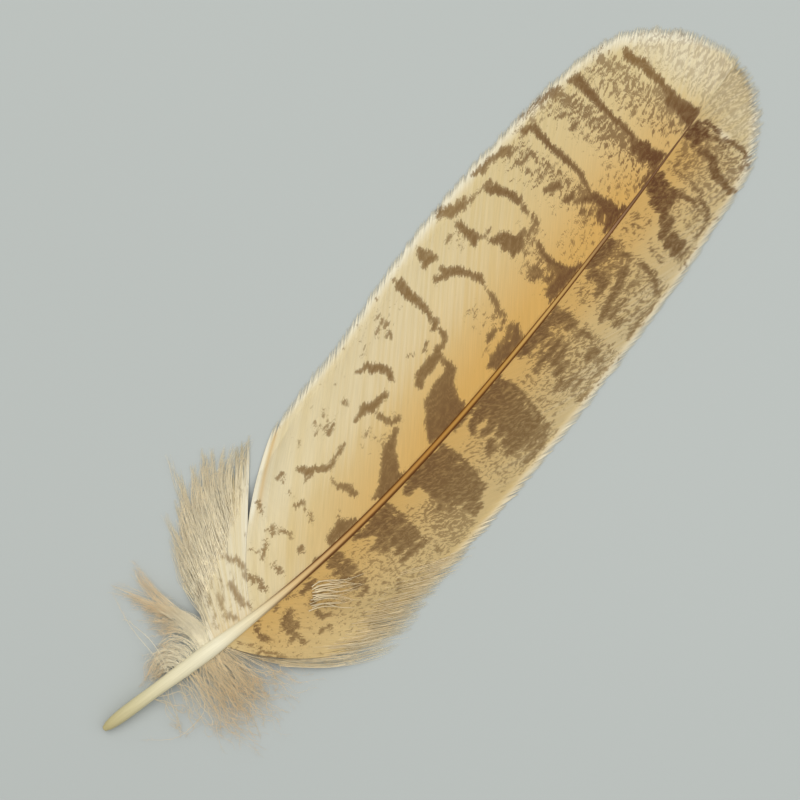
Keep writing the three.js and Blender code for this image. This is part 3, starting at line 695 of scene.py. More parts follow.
narrowMarks = [
    # flecks near the base
    (0.5, (46, -4.5, 0.7)),
    (0.6, (45.6, -3, 0.6), (47, -5.5, 0.7), (48.6, -7.5, 0.6)),
    (0.55, (50.5, -9, 0.6), (52.5, -11.5, 0.7), (54.5, -13.6, 0.6)),
    (0.5, (50, -5, 0.5), (51.5, -7.5, 0.5)),
    # streaks between the loosened barbs: painted shade in the gaps between them, partly the darker brown of
    # some barbs
    (0.5, (46.5, -3.5, 0.3), (50.5, -8.3, 0.4), (55.5, -12.8, 0.4), (60.5, -16.5, 0.3)),
    (0.45, (48.5, -3, 0.3), (53, -7.8, 0.3), (58, -11.8, 0.3), (62, -14.3, 0.2)),
    (0.45, (51, -9.8, 0.3), (56.5, -15, 0.4), (62.5, -19.6, 0.3), (67, -22.4, 0.2)),
    (0.4, (57, -9.5, 0.3), (62, -13.5, 0.3), (67, -17, 0.2)),
    (0.4, (48.5, -3.5, 0.5), (49.5, -5, 0.5)),
    (0.6, (49.8, -9.5, 0.6), (50.8, -11, 0.6)),
    (0.6, (52.5, -8.5, 0.7), (53.5, -10.8, 0.7), (55.5, -13, 0.7)),
    (0.65, (57.3, -2, 0.9), (55.5, -3.5, 0.9), (54.7, -5.5, 0.9), (55.8, -8.5, 0.9)),
    (0.6, (59.8, -12.3, 0.6)),
    (0.4, (60, -17.5, 0.5), (61, -18.5, 0.5)),
    (0.65, (63.5, -2.5, 0.8), (65, -2.2, 0.8)),
    (0.75, (67, -5.3, 0.8), (65, -6, 1.2), (63.5, -7, 1.2), (62, -8.5, 1), (63, -10, 1.4)),
    (0.75, (63, -10, 1.4), (65, -10.2, 1.2), (66.5, -9.5, 0.6)),
    (0.7, (61.5, -12, 0.9), (63.5, -12.3, 1.2), (63.5, -15.5, 0.9)),
    (0.7, (65.5, -7.2, 1.4), (63, -8.8, 1.4), (62.3, -10.5, 1)),
    (0.75, (56.3, -2.6, 1), (55.3, -4.6, 1.1), (55.8, -7, 1), (57, -9.3, 0.8)),
    (0.6, (68, -1.6, 0.7), (70, -1.8, 0.7)),
    (0.5, (70.5, -3, 0.7), (72, -3.5, 0.7)),
    (0.8, (73, -3.5, 0.9), (75.5, -3.5, 1.2), (78, -3, 0.9)),
    (0.75, (72.5, -7.3, 0.9), (73.5, -8, 0.9)),
    (0.6, (74, -5.5, 0.6), (76, -7, 0.6)),
    (0.6, (77, -8.5, 0.6), (77.5, -9.5, 0.6)),
    (0.8, (72.3, -11, 0.9), (72.8, -13, 1), (74.5, -13.7, 0.9)),
    (0.65, (76.5, -11, 0.8), (78, -13, 0.8)),
    (0.8, (69, -16.3, 0.5), (71.5, -16.2, 0.9), (72.5, -16.8, 0.7)),
    # the patch under the ruffled barbs
    (0.78, (84.5, -3, 1.2), (87, -3, 1.8), (89, -2.8, 1.3)),
    (0.78, (84, -5.5, 1), (86, -6, 1.6), (88.8, -6, 1.5)),
    (0.78, (84, -8.3, 1), (86.5, -8.5, 1.6), (89, -8.3, 1.3)),
    (0.78, (86.5, -11, 1.5), (89.3, -11, 1)),
    (0.78, (86, -13, 1.2), (88.5, -13.2, 1.2)),
    (0.78, (85, -15.7, 0.9), (87, -15.6, 1), (88.5, -14.8, 0.7)),
    (0.5, (77, -21, 0.6), (76.5, -22.3, 0.6)),
    (0.5, (88, -22.5, 0.6)),
    (0.6, (89.5, -20, 0.6)),
    (0.6, (90, -24, 0.6), (91, -25, 0.6)),
    (0.6, (93.5, -22.5, 0.8), (95.5, -21, 1), (96.5, -20.5, 0.7)),
    (0.45, (92, -17.5, 0.6), (93.5, -18.5, 0.6)),
    (0.45, (95, -15.5, 0.6), (97, -16, 0.6)),
    (0.45, (98.5, -14, 0.6)),
    # the second patch
    (0.85, (95.5, -2, 0.8), (98, -2.8, 1.2), (100, -3.5, 1.8), (104, -3.5, 2.2), (108, -3.2, 1.8)),
    (0.85, (97, -8.3, 0.8), (99, -8.3, 1.1), (103, -7, 2.2), (107, -7, 2.2), (109.5, -8, 1.2)),
    (0.85, (98, -10.5, 0.8), (105, -11, 2), (109, -11.5, 1.5)),
    (0.85, (101, -14, 1), (104, -14, 1.7), (108, -14, 1.7)),
    (0.85, (100.5, -16.8, 0.9), (103, -16.6, 1), (106, -17, 1), (109, -17.6, 1.1)),
    (0.65, (110.3, -21, 0.7), (110, -22.7, 0.9)),
    (0.85, (109.3, -1.5, 0.7), (109.8, -6, 0.7), (109.6, -11, 0.7), (109.4, -17, 0.7)),
    (0.85, (117.5, -14.8, 0.5), (119.5, -13.5, 1), (120, -12.5, 0.6)),
    # the third patch
    (0.82, (116.5, -3.2, 1.4), (119, -2.8, 1.9), (123, -3, 2.2), (128, -3, 2.2), (131.5, -2.8, 1.7)),
    (0.82, (122, -6.5, 2), (127, -6.5, 2.5), (132, -6.5, 2)),
    (0.82, (121.5, -9.5, 1.8), (127, -10, 2.4), (132, -10.5, 1.8)),
    (0.82, (123, -13, 2), (128, -14, 2.4), (132.5, -13, 2)),
    (0.82, (120.5, -16.5, 0.8), (123, -16, 0.9), (126.5, -17, 1.6), (131.5, -17, 1.6)),
    (0.82, (124.5, -20, 1.3), (128, -19.5, 1.6), (131.5, -19.3, 1), (133, -18.8, 0.6)),
    (0.82, (125, -22.3, 1.3), (127.5, -22, 1.2)),
    (0.82, (132.8, -1.5, 0.8), (133.6, -5, 0.9), (133.9, -10, 0.9), (133.5, -15, 0.8), (132.8, -18, 0.8)),
    (0.82, (121, -4.8, 1), (121, -8, 1), (121.5, -11.5, 0.9)),
    # the fourth patch
    (0.85, (140.5, -13.5, 0.8), (142, -13.2, 1.7), (143.5, -12, 1.4)),
    (0.85, (139, -0.9, 0.7), (160, -1.2, 0.7)),
    (0.85, (142, -6, 0.8), (143.5, -4.5, 1.3), (146, -4, 1.8), (150, -3.5, 2.3), (155, -3.5, 2.4)),
    (0.85, (155, -3.5, 2.4), (158.5, -3.2, 1.8)),
    (0.85, (144, -8.5, 1.2), (147, -9, 1), (149.5, -7.5, 1.8), (155, -7.5, 2.3), (158.8, -7.3, 1.6)),
    (0.85, (147, -12, 1.4), (151, -11.5, 2), (156, -11.5, 2.2), (159, -10.5, 1.2)),
    (0.8, (146, -15.5, 1.5), (151, -15.5, 2), (155, -15.5, 2), (157.5, -14.5, 1.3)),
    (0.75, (144.5, -18, 1.2), (149, -18.5, 1.8), (154, -19, 2), (158, -18, 1.6)),
    (0.65, (149, -21.5, 1.2), (154, -22, 1.6), (158, -21.5, 1.3)),
    (0.6, (146, -24, 1), (149.5, -24.3, 1.4), (153, -24, 1.3), (156, -23.5, 1)),
    (0.8, (159, -1.5, 0.9), (160, -5, 0.9), (160.2, -9.5, 0.9), (159.3, -14, 0.9), (158.6, -19, 0.8)),
    (0.75, (150, -9.8, 1.2), (154, -13.4, 1.3), (150, -13.6, 1.2), (148, -16.8, 1.2), (156, -17, 1.2)),
    (0.5, (161.5, -15, 0.6), (163, -15, 0.6)),
    (0.5, (163, -17.5, 0.6), (164.5, -18.5, 0.6)),
    # the fifth patch, mottled
    (0.85, (168.5, -1.5, 0.9), (171, -2, 1.6), (178, -2, 1.6), (182, -1.8, 1.4), (186, -1.5, 0.8)),
    (0.8, (176, -3.5, 1), (179, -4, 1)),
    (0.8, (183, -4, 1.3), (185.5, -4, 1.8), (186.5, -6, 1.3)),
    (0.7, (173, -6, 0.8), (179, -6, 0.6)),
    (0.82, (168, -8.3, 0.8), (171, -7.8, 0.9), (174, -8.3, 1.3), (178, -8.3, 1.3), (180.5, -8, 0.7)),
    (0.78, (183.5, -7.5, 1), (186, -8, 1.3)),
    (0.8, (174, -11, 1.7), (177.5, -11, 1.2), (180, -10.5, 0.7)),
    (0.72, (184.5, -11.5, 1.3), (186, -12, 1.1), (186, -15, 1)),
    (0.78, (171, -13.7, 1), (173.5, -13.7, 1.3), (176, -14, 0.8)),
    (0.72, (167.5, -16.5, 0.9), (170.5, -16.2, 0.9), (172, -15.5, 0.7)),
    (0.65, (169, -18.3, 0.9), (175, -18.5, 0.9)),
    (0.7, (181, -18.3, 1.4), (184, -18.5, 1.5)),
    (0.6, (172, -20.7, 0.9), (175, -20.7, 0.9)),
    (0.6, (182.5, -21.5, 1.5)),
    (0.6, (169.5, -24.3, 1), (175, -25, 0.6)),
    (0.5, (177, -23, 0.9), (182, -24, 0.9)),
    # the sixth patch and its long band
    (0.92, (202, -1.2, 0.9), (205, -1.8, 1.6), (209, -2.2, 1.8), (212, -2.2, 1.5)),
    (0.9, (199.8, -3, 0.9), (202, -3.8, 1.3), (201, -5.8, 1.3), (203, -6, 1.2)),
    (0.85, (197, -8.3, 0.8), (199, -8, 1.2), (202, -7.8, 1.2)),
    (0.5, (194.5, -4, 0.7), (196.5, -3.3, 0.7)),
    (0.5, (192.5, -6.3, 0.7), (194, -5.8, 0.7)),
    (0.6, (205.5, -6.5, 0.8), (208, -7, 0.8)),
    (0.7, (211, -6.5, 0.9), (212.5, -8, 1), (211.5, -9.5, 0.8)),
    (0.65, (205, -9.5, 0.8), (209, -9.8, 0.8)),
    (0.85, (192, -14, 0.8), (194, -13.6, 1.2), (197, -12.8, 1.1), (201, -12, 1.2), (205, -11.2, 1.1)),
    (0.85, (205, -11.2, 1.1), (209, -10.3, 1)),
    (0.7, (195, -16, 1.1), (198, -15.3, 1), (201, -16, 0.8)),
    (0.65, (194, -18.5, 1.3), (196, -18.8, 1.1)),
    (0.55, (203, -14, 0.8), (208, -15.5, 0.8)),
    (0.65, (212.5, -13, 1), (212.5, -16, 1.1), (212, -19, 1.2), (210, -21.5, 1.2), (209, -23.5, 1)),
    (0.75, (199, -20.5, 0.5), (201.5, -21, 0.7)),
    (0.5, (193, -24, 1), (197, -23.5, 1.2), (206, -24, 0.9)),
    (0.5, (219.8, -11, 0.6), (218, -12.5, 0.8), (217.5, -15, 0.9), (217, -18, 0.9)),
    (0.5, (220.5, -4, 0.8), (223, -3, 0.7)),
    # the seventh patch
    (0.95, (232, -2.5, 1.3), (234.5, -2, 1.8), (237, -1.8, 1.5)),
    (0.95, (229.5, -5.5, 1.3), (232.5, -5, 2.2), (235.5, -4.5, 1.8)),
    (0.92, (229, -7.5, 1.2), (232, -7.5, 1.2), (235.5, -7.5, 1.3)),
    (0.8, (236, -9.5, 1), (236.5, -12, 0.9)),
    (0.85, (226.5, -10.3, 1.2), (229, -9.7, 1.2)),
    (0.82, (223, -13, 1.3), (226, -12.5, 1.6), (229, -12.3, 1)),
    (0.8, (222, -16, 1.6), (225, -16, 1.8)),
    (0.75, (221.5, -19, 1.6), (224.5, -19, 1.9)),
    (0.5, (222, -21.5, 1.4), (225, -21.3, 1.3)),
    (0.4, (219, -23.8, 1), (226, -23.5, 0.9)),
    (0.85, (229, -9, 1.2), (233, -9.3, 1), (236.3, -8.5, 1)),
    (0.7, (236.6, -10, 0.9), (237, -14, 0.9), (236.2, -17, 0.8)),
    (0.6, (230, -17.5, 0.5), (235, -17.8, 0.5)),
    (0.7, (238.5, -15, 0.7), (238.5, -17.5, 1), (237.5, -19.5, 1), (235, -21.5, 0.9)),
    (0.5, (229, -21.5, 0.8), (233, -22, 0.8)),
    # the last two
    (0.6, (241.5, -5, 0.5), (241.7, -9, 0.6), (241, -12.5, 0.8), (240.3, -15, 0.9)),
    (0.65, (242, -3.5, 0.5), (246, -3.7, 0.5)),
    (0.5, (243, -6.5, 0.6), (247, -6.8, 0.6)),
    (0.9, (252, -1.5, 1.2), (255, -2, 1.8), (257, -2, 1.2)),
    (0.88, (250.5, -4, 1), (254, -4.5, 1.5), (256.5, -4.5, 1)),
    (0.82, (250.5, -6.8, 1.1), (251.5, -9, 1.3), (251, -11.5, 1.4), (249, -13.5, 1.6), (247.5, -16, 1.5)),
    (0.82, (247.5, -16, 1.5), (247.5, -18.5, 1.4), (246.5, -21, 1.3), (247.5, -22.7, 0.9)),
    (0.7, (256.3, -7, 0.9), (256.5, -10, 0.8), (256.5, -13, 0.7)),
    (0.5, (254, -20, 1), (256.5, -21.5, 1.2)),
    (0.9, (253, -3, 1.3), (256, -3.2, 1.2), (255.5, -6, 1)),
    (0.8, (258.3, -3, 0.8), (258.8, -5.5, 0.8), (258.5, -8, 0.9)),
    (0.7, (258.2, -11.5, 0.9), (258.8, -14, 1), (259, -17, 1), (258, -19.5, 0.9)),
]

# Fields of fine wavy dashes: s from and to, d from and to, the share covered at each end, how dark.
wideSpeckles = [
    (44, 62, 3, 22, 0.2, 0.2, 0.5), (180, 187, 29, 38, 0.1, 0.34, 0.75), (163, 173, 7, 19, 0.1, 0.34, 0.75),
    (186, 197, 1, 16, 0.2, 0.55, 0.8), (198, 216, 1, 12, 0.24, 0.34, 0.62),
    (190, 205, 15, 24, 0.3, 0.2, 0.75), (208, 221, 2, 39, 0.12, 0.6, 0.8),
    (219, 233, 1, 14, 0.24, 0.42, 0.62), (229, 242, 1, 40, 0.12, 0.78, 0.8),
    (245, 259, 1, 36, 0.34, 0.62, 0.72), (261.5, 279, -1, 30, 0.4, 0.55, 0.35),
    (140, 158, 33, 41, 0.1, 0.2, 0.5), (107, 119, 24, 32, 0.1, 0.2, 0.5),
    (116, 132, 11, 19, 0.18, 0.14, 0.5), (219, 240, 36, 43, 0.3, 0.5, 0.65),
]
narrowSpeckles = [
    (46, 84, -20, -4, 0.16, 0.24, 0.6), (72, 98, -26, -3, 0.3, 0.4, 0.68),
    (96, 116, -26, -6, 0.46, 0.36, 0.7), (112, 124, -26, -9, 0.5, 0.64, 0.74),
    (134, 143, -25, -6, 0.36, 0.44, 0.68), (142, 160, -26, -12, 0.5, 0.55, 0.7),
    (160, 170, -23, -5, 0.36, 0.4, 0.68), (168, 189, -26, -1, 0.46, 0.5, 0.74),
    (192, 214, -25, -1, 0.36, 0.5, 0.74), (200, 214, -10, -1, 0.5, 0.64, 0.76),
    (213, 226, -9, -1, 0.28, 0.42, 0.7), (218, 229, -25, -12, 0.32, 0.32, 0.64),
    (228, 239, -24, -8, 0.36, 0.46, 0.62), (239, 252, -22, -1, 0.44, 0.56, 0.62),
    (249, 257, -22, -1, 0.5, 0.62, 0.7), (259.5, 279, -20, 1, 0.46, 0.58, 0.36),
]

plumage = {
    "buff": (214, 198, 152),
    "gold": (208, 169, 96),
    "cream": (232, 225, 202),
    "brown": (140, 111, 66),
    "deepBrown": (102, 64, 30),
    "surface": {"Roughness": 0.72, "Specular IOR Level": 0.22, "Sheen Weight": 0.08},
}

marking = {
    # the grid on which the strokes are drawn
    "s": (36, 286),
    "d": (-36, 54),
    "step": 0.2,
    "thicker": 1.1,
    "fainter": 0.65,  # power of the darkness, which brings faint strokes up
    "soft": 2.0,  # how far a stroke takes to fade at its edge
    "speckleSoft": 2,
    # the marks break into dashes, which follow the barbules and so the shaft
    "dashLength": 2.3,
    "dashBreadth": 0.72,
    "dashWave": 1.2,  # how far the dashes wander off their line
    "waveLength": 6,
    "wornShift": 31.7,  # the two sets of dashes are cut from different parts of the noise
    "dashShift": 7.3,
}


# How dark each point of a vane is, drawn with the strokes on a fine grid of s by d.
def drawStrokes(marks):
    sAxis = np.arange(*marking["s"], marking["step"])
    dAxis = np.arange(*marking["d"], marking["step"])
    ink = np.zeros((len(sAxis), len(dAxis)))
    for darkness, *points in marks:
        if len(points) == 1:
            points = points * 2
        for start, end in zip(np.array(points[:-1], float), np.array(points[1:], float)):
            reach = max(start[2], end[2]) * marking["thicker"] + marking["soft"]
            low = np.minimum(start, end)[:2] - reach - (marking["s"][0], marking["d"][0])
            high = np.maximum(start, end)[:2] + reach - (marking["s"][0], marking["d"][0])
            rows = slice(int(low[0] / marking["step"]), int(high[0] / marking["step"]) + 2)
            columns = slice(int(low[1] / marking["step"]), int(high[1] / marking["step"]) + 2)
            s, d = np.meshgrid(sAxis[rows] - start[0], dAxis[columns] - start[1], indexing="ij")
            run = (end - start)[:2]
            t = np.clip((s * run[0] + d * run[1]) / max(run @ run, 1e-9), 0, 1)
            away = np.hypot(s - t * run[0], d - t * run[1])
            radius = (start[2] + t * (end[2] - start[2])) * marking["thicker"]
            stroke = darkness ** marking["fainter"] * np.clip((radius - away) / marking["soft"] + 0.5, 0, 1)
            np.maximum(ink[rows, columns], stroke, out=ink[rows, columns])
    return ink


def readInk(ink, s, d):
    row = np.clip((s - marking["s"][0]) / marking["step"], 0, ink.shape[0] - 1.001)
    column = np.clip((d - marking["d"][0]) / marking["step"], 0, ink.shape[1] - 1.001)
    i, j = row.astype(int), column.astype(int)
    a, b = row - i, column - j
    near = ink[i, j] * (1 - b) + ink[i, j + 1] * b
    far = ink[i + 1, j] * (1 - b) + ink[i + 1, j + 1] * b
    return near * (1 - a) + far * a


def readSpeckles(speckles, s, d):
    soft = marking["speckleSoft"]
    most, darkest = np.zeros(s.shape), np.zeros(s.shape)
    for sFrom, sTo, dFrom, dTo, shareFrom, shareTo, darkness in speckles:
        along = smoothStep(s, sFrom - soft, sFrom + soft) * smoothStep(-s, -sTo - soft, -sTo + soft)
        off = smoothStep(d, dFrom - soft, dFrom + soft) * smoothStep(-d, -dTo - soft, -dTo + soft)
        share = (shareFrom + (shareTo - shareFrom) * np.clip((s - sFrom) / (sTo - sFrom), 0, 1)) * along * off
        darkest = np.where(share > most, darkness, darkest)
        most = np.maximum(most, share)
    return most, darkest


# Evenly spread noise from 0 to 1 over s and d, in wavy dashes turned by an angle.
def addDashes(material, where, slope, shift, longer):
    size = (marking["dashLength"] * longer, marking["dashBreadth"] * longer**0.5, 1)
    settings = {"Vector": where, "Location": (shift, shift, 0), "Rotation": (0, 0, slope), "Scale": size}
    turned = addNode(material, "ShaderNodeMapping", settings, vector_type="TEXTURE").outputs[0]
    return mapRange(material, addNoise(material, turned, detail=2.5), 0.27, 0.73)


# Reads two attributes of the piece. Plumage: how much pigment in bars, with the painted shade of the narrow
# vane's streaks, how golden, how deep a brown, how pale. Grain: s, d, the share of dashes, and their
# darkness.
def makePlumageMaterial(name, look):
    material, shader = newMaterial(name, plumage["surface"])
    colours = {key: linearColour(*plumage[key]) for key in ("buff", "gold", "cream", "brown", "deepBrown")}
    ink, golden, deep, pale = readPlumage(material)
    grain = addNode(material, "ShaderNodeAttribute", attribute_name="grain").outputs
    s, d, share = addNode(material, "ShaderNodeSeparateXYZ", {"Vector": grain["Vector"]}).outputs
    unrolled = addNode(material, "ShaderNodeUVMap", uv_map="OFBake").outputs[0]
    # one tone to a barb, slowly changing along it
    barbTone = addGrain(material, unrolled, look["barbs"], 14, scale=0.9)
    fineTone = addGrain(material, unrolled, look["barbs"], 160)
    # where the dashes are, on lines that wander
    flat = addNode(material, "ShaderNodeCombineXYZ", {"X": s, "Y": d, "Z": 0.0}).outputs[0]
    waves = addNoise(material, flat, 1 / marking["waveLength"])
    wander = mapRange(material, waves, 0.3, 0.7, -marking["dashWave"], marking["dashWave"])
    bend = addNode(material, "ShaderNodeCombineXYZ", {"X": 0.0, "Y": wander, "Z": 0.0}).outputs[0]
    where = addNode(material, "ShaderNodeVectorMath", {0: flat, 1: bend}, operation="ADD").outputs[0]
    worn = addDashes(material, where, look["dashSlope"], marking["wornShift"], 1.0)
    dash = addDashes(material, where, look["dashSlope"], marking["dashShift"], look["dashSize"])
    # bars keep to the darkest part of their strokes where they are worn
    left = addMath(material, "MULTIPLY_ADD", worn, -look["wear"], ink)
    cover = smoothRange(material, left, -0.06, 0.2)
    cover = addMath(material, "MULTIPLY", cover, mapRange(material, ink, 0.1, 0.8, 0.6, 1))
    cover = addMath(material, "MULTIPLY", cover, mapRange(material, dash, 0.1, 0.6, look["mottle"], 1))
    fleck = smoothRange(material, addMath(material, "ADD", dash, share), 0.86, 1.12)
    fleck = addMath(material, "MULTIPLY", fleck, grain["Alpha"])
    fleck = addMath(material, "MULTIPLY", fleck, smoothRange(material, share, 0, 0.12))
    pigmentAndShade = addMath(material, "MAXIMUM", cover, fleck)
    ground = mixColours(material, golden, colours["buff"], colours["gold"])
    ground = mixColours(material, pale, ground, colours["cream"])
    mark = mixColours(material, deep, colours["brown"], colours["deepBrown"])
    colour = mixColours(material, pigmentAndShade, ground, mark)
    tone = mapRange(material, barbTone, 0.3, 0.7, look["tone"] * 0.95, look["tone"] * 1.05)
    setColour(material, shader, colour, tone)
    setBump(material, shader, fineTone, 0.3, 0.00006)
    return material


vanes = {
    "rootInset": 0.2,  # how far the barbs start across the shaft's middle line
    "belly": 0.5,  # how far along a barb its leaving direction pulls it
    "sink": 0.45,  # depth of a vane's underside below the middle of the shaft
    "lieFrom": 0.88,  # how far along the barbs the vane meets the surface
    "lower": (0.12, 57, 7),  # how much sooner it does so about the split, its root there and its spread
    "camber": 1.8,
    "rootLift": 0.5,  # how far the barbs ride over the vane's underside
    "marginLift": 0.28,
    "fineSteps": 400,
    "evenly": 0.45,  # share of a barb's points that are evenly spread
    "frayedFrom": 50,  # s from which the ends are less and less frayed
    "widths": (0.09, 0.8),  # least and greatest width of a barb
    "tipWidth": 0.12,  # of the full width and height, at the free tip
    "tipDepth": 0.25,
    "loose": 1.6,  # how much longer the swaying part is than the tapered one
    "clearance": 0.06,  # over the surface
    "markReach": 0.5,  # jog of a mark's edge from barb to barb
    "bareMargin": 0.7,  # how much of the dashes the margin loses
    "bareOver": 2.6,
    "leastLength": 6,  # for a barb's unevenness, so that short ones aren't stretched out of shape
    # how many barbs, or barbs and points along them, each kind of noise is smoothed over
    "blurs": {
        "quickEnd": 0.5,
        "slowEnd": 5,
        "jog": 0.45,
        "sway": (0.7, 6),
        "clump": 3,
        "wave": (4, 5),
        "tipLift": 1.5,
    },
}


# The s and d of points on barbs, from the root at along = 0 to the free tip at along = 1.
def onBarb(table, root, along):
    leave = np.radians(readTable(table, root, 3))
    endS, endD = readTable(table, root, 1), readTable(table, root, 2)
    reach = np.hypot(endS - root, endD + vanes["rootInset"]) * vanes["belly"]
    pullS, pullD = root + reach * np.cos(leave), reach * np.sin(leave) - vanes["rootInset"]
    before, middle, after = (1 - along) ** 2, 2 * (1 - along) * along, along**2
    s = before * root + middle * pullS + after * endS
    return s, -before * vanes["rootInset"] + middle * pullD + after * endD


def barbHeight(root, along):
    sooner, split, spread = vanes["lower"]
    lieFrom = vanes["lieFrom"] - sooner * hill(root, split, spread)
    fall = np.minimum(along / lieFrom, 1) ** vanes["camber"]
    lift = vanes["rootLift"] + (vanes["marginLift"] - vanes["rootLift"]) * np.minimum(along, 1)
    return np.maximum((shaftHeight(root) - vanes["sink"]) * (1 - fall), 0) + lift


def makeVane(look):
    chance = np.random.default_rng(look["seed"])
    count, points, side, table = look["barbs"], look["points"], look["side"], look["table"]
    blurs = vanes["blurs"]
    roots = np.linspace(table[0][0] + look["skip"], table[-1][0] - look["skipEnd"], count)[:, None]
    fine = np.linspace(0, 1, vanes["fineSteps"])[None, :]
    # lengths, with a slow change over many barbs and a quick one from barb to barb
    quick = barbNoise(chance, count, blurs["quickEnd"]) - 0.5
    slow = barbNoise(chance, count, blurs["slowEnd"]) - 0.5
    s, d = onBarb(table, roots, fine)
    length = np.hypot(np.diff(s, axis=1), np.diff(d, axis=1)).sum(axis=1, keepdims=True)
    frayed = 1 + look["frayed"] * smoothStep(-roots, -look["frayedTo"], -vanes["frayedFrom"])
    uneven = (quick * look["quickEnd"] + slow * look["slowEnd"]) * frayed
    stretch = 1 + uneven / np.maximum(length, vanes["leastLength"])
    along = fine * stretch
    s, d = onBarb(table, roots, along)
    length *= stretch

    # bars, jogged along each barb
    ink = drawStrokes(look["marks"])
    jog = (barbNoise(chance, count, blurs["jog"]) - 0.5) * 2 * vanes["markReach"]
    sJog, dJog = onBarb(table, roots, along + jog / length)
    pigmentAndShade = readInk(ink, sJog, dJog * side) * look["strength"](s, d)

    # points along each barb, closest where its colour changes
    change = np.abs(np.diff(pigmentAndShade, axis=1))
    evenly = vanes["evenly"]
    weight = evenly / vanes["fineSteps"] + (1 - evenly) * change / (change.sum(axis=1, keepdims=True) + 2)
    run = np.concatenate([np.zeros((count, 1)), np.cumsum(weight, axis=1)], axis=1)
    stops = np.linspace(0, 1, points)
    t = np.stack([np.interp(stops, run[i] / run[i, -1], fine[0]) for i in range(count)])

    def atStops(values):
        return np.stack([np.interp(t[i], fine[0], values[i]) for i in range(count)])

    # spacing of the barbs sets their width
    wayS, wayD = np.gradient(s, axis=1), np.gradient(d, axis=1)
    size = np.hypot(wayS, wayD) + 1e-9
    stepS, stepD = (np.gradient(values, axis=0) for values in onBarb(table, roots, fine))
    spacing = np.abs(stepS * wayD - stepD * wayS) / size
    left = (1 - t) * length  # what is left of the barb, in mm
    taper = smoothStep(left, -0.6, look["freeTip"] * frayed)
    width = np.clip(atStops(spacing) * look["overlap"], *vanes["widths"])
    width *= vanes["tipWidth"] + (1 - vanes["tipWidth"]) * taper
    height = look["ridge"] * (vanes["tipDepth"] + (1 - vanes["tipDepth"]) * taper)

    # free tips sway and lift a little, in small clumps
    sway = (grainNoise(chance, count, points, *blurs["sway"]) - 0.5) * 2 * look["sway"]
    clump = (barbNoise(chance, count, blurs["clump"]) - 0.5) * 2 * look["clump"]
    loosened = 1 - smoothStep(left, 0, look["freeTip"] * frayed * vanes["loose"])
    wayS, wayD = atStops(wayS / size), atStops(wayD / size)
    swing = (sway + clump * frayed) * loosened**1.5
    sNow, dNow = atStops(s) - wayD * swing, atStops(d) + wayS * swing
    wave = (grainNoise(chance, count, points, *blurs["wave"]) - 0.5) * look["wave"]
    lift = barbNoise(chance, count, blurs["tipLift"]) * look["tipLift"] * loosened
    z = barbHeight(roots, t * stretch) + wave + lift
    centres = place(sNow, side * dNow, np.maximum(z, vanes["clearance"]))

    masks = np.stack([atStops(pigmentAndShade), *look["colour"](sNow, dNow, t * stretch, roots, chance)], axis=-1)
    part = strandParts(centres, width, height, masks, tilt=side * look["tilt"])
    sGrain, dGrain = atStops(sJog), side * atStops(dJog)
    share, darkness = readSpeckles(look["speckles"], sGrain, dGrain)
    share = share * (1 - vanes["bareMargin"] * smoothStep(-left, -vanes["bareOver"], -0.3))
    grain = np.stack([sGrain, dGrain, share, darkness * look["strength"](sNow, dNow)], axis=-1)
    part["grain"] = np.repeat(grain, 3, axis=1).reshape(-1, 4)
    joinedPiece(look["name"], [part], makePlumageMaterial(look["name"] + "_plumage", look))


# How much of the pigment in their strokes the marks have, with the narrow vane's streaks of painted shade.
def wideStrength(s, d):
    return 0.72 + 0.2 * smoothStep(s, 56, 92) + 0.08 * smoothStep(s, 92, 140)


def narrowStrength(s, d):
    return 0.86 + 0.14 * smoothStep(s, 84, 125) - 0.14 * smoothStep(d, 17, 26)


def looseStrength(s, d):
    return np.full(s.shape, 0.64)


# How golden the ground is, how deep the brown of the marks, and how pale the ground, each from 0 to 1.
def wideColour(s, d, along, root, chance):
    broad = 0.12 + 0.34 * smoothStep(s, 85, 160)
    gold = broad * hill(d, 0, 34) + 0.6 * hill(d, 0, 15) * smoothStep(s, 56, 112)
    gold = gold * (1 - 0.9 * smoothStep(s, 246, 268)) * (1 - 0.3 * smoothStep(s, 222, 246))
    # beside the split, a pale edge and a golden line along it
    splitEdge, edgeGold = (hill(root, at, 0.8) * smoothStep(along, 0.45, 0.6) for at in (57.4, 59.4))
    deep = 0.1 + 0.5 * hill(d, 0, 12) + 0.4 * smoothStep(s, 165, 225) - 0.3 * smoothStep(d, 28, 42)
    deep = deep - 0.35 * smoothStep(s, 250, 262) - 0.3 * (1 - smoothStep(s, 90, 150))
    pale = 0.04 + 0.95 * smoothStep(along, 0.9, 0.98) + 0.2 * smoothStep(-s, -105, -60) + 0.9 * splitEdge
    pale = pale + 0.26 * smoothStep(d, 8, 26) * (1 - smoothStep(s, 150, 215))
    pale = pale + 0.5 * smoothStep(s, 258, 272) + 0.2 * (barbNoise(chance, len(s), 1.2) - 0.5)
    return np.clip([gold + 0.7 * edgeGold, deep, pale - 0.3 * gold], 0, 1)


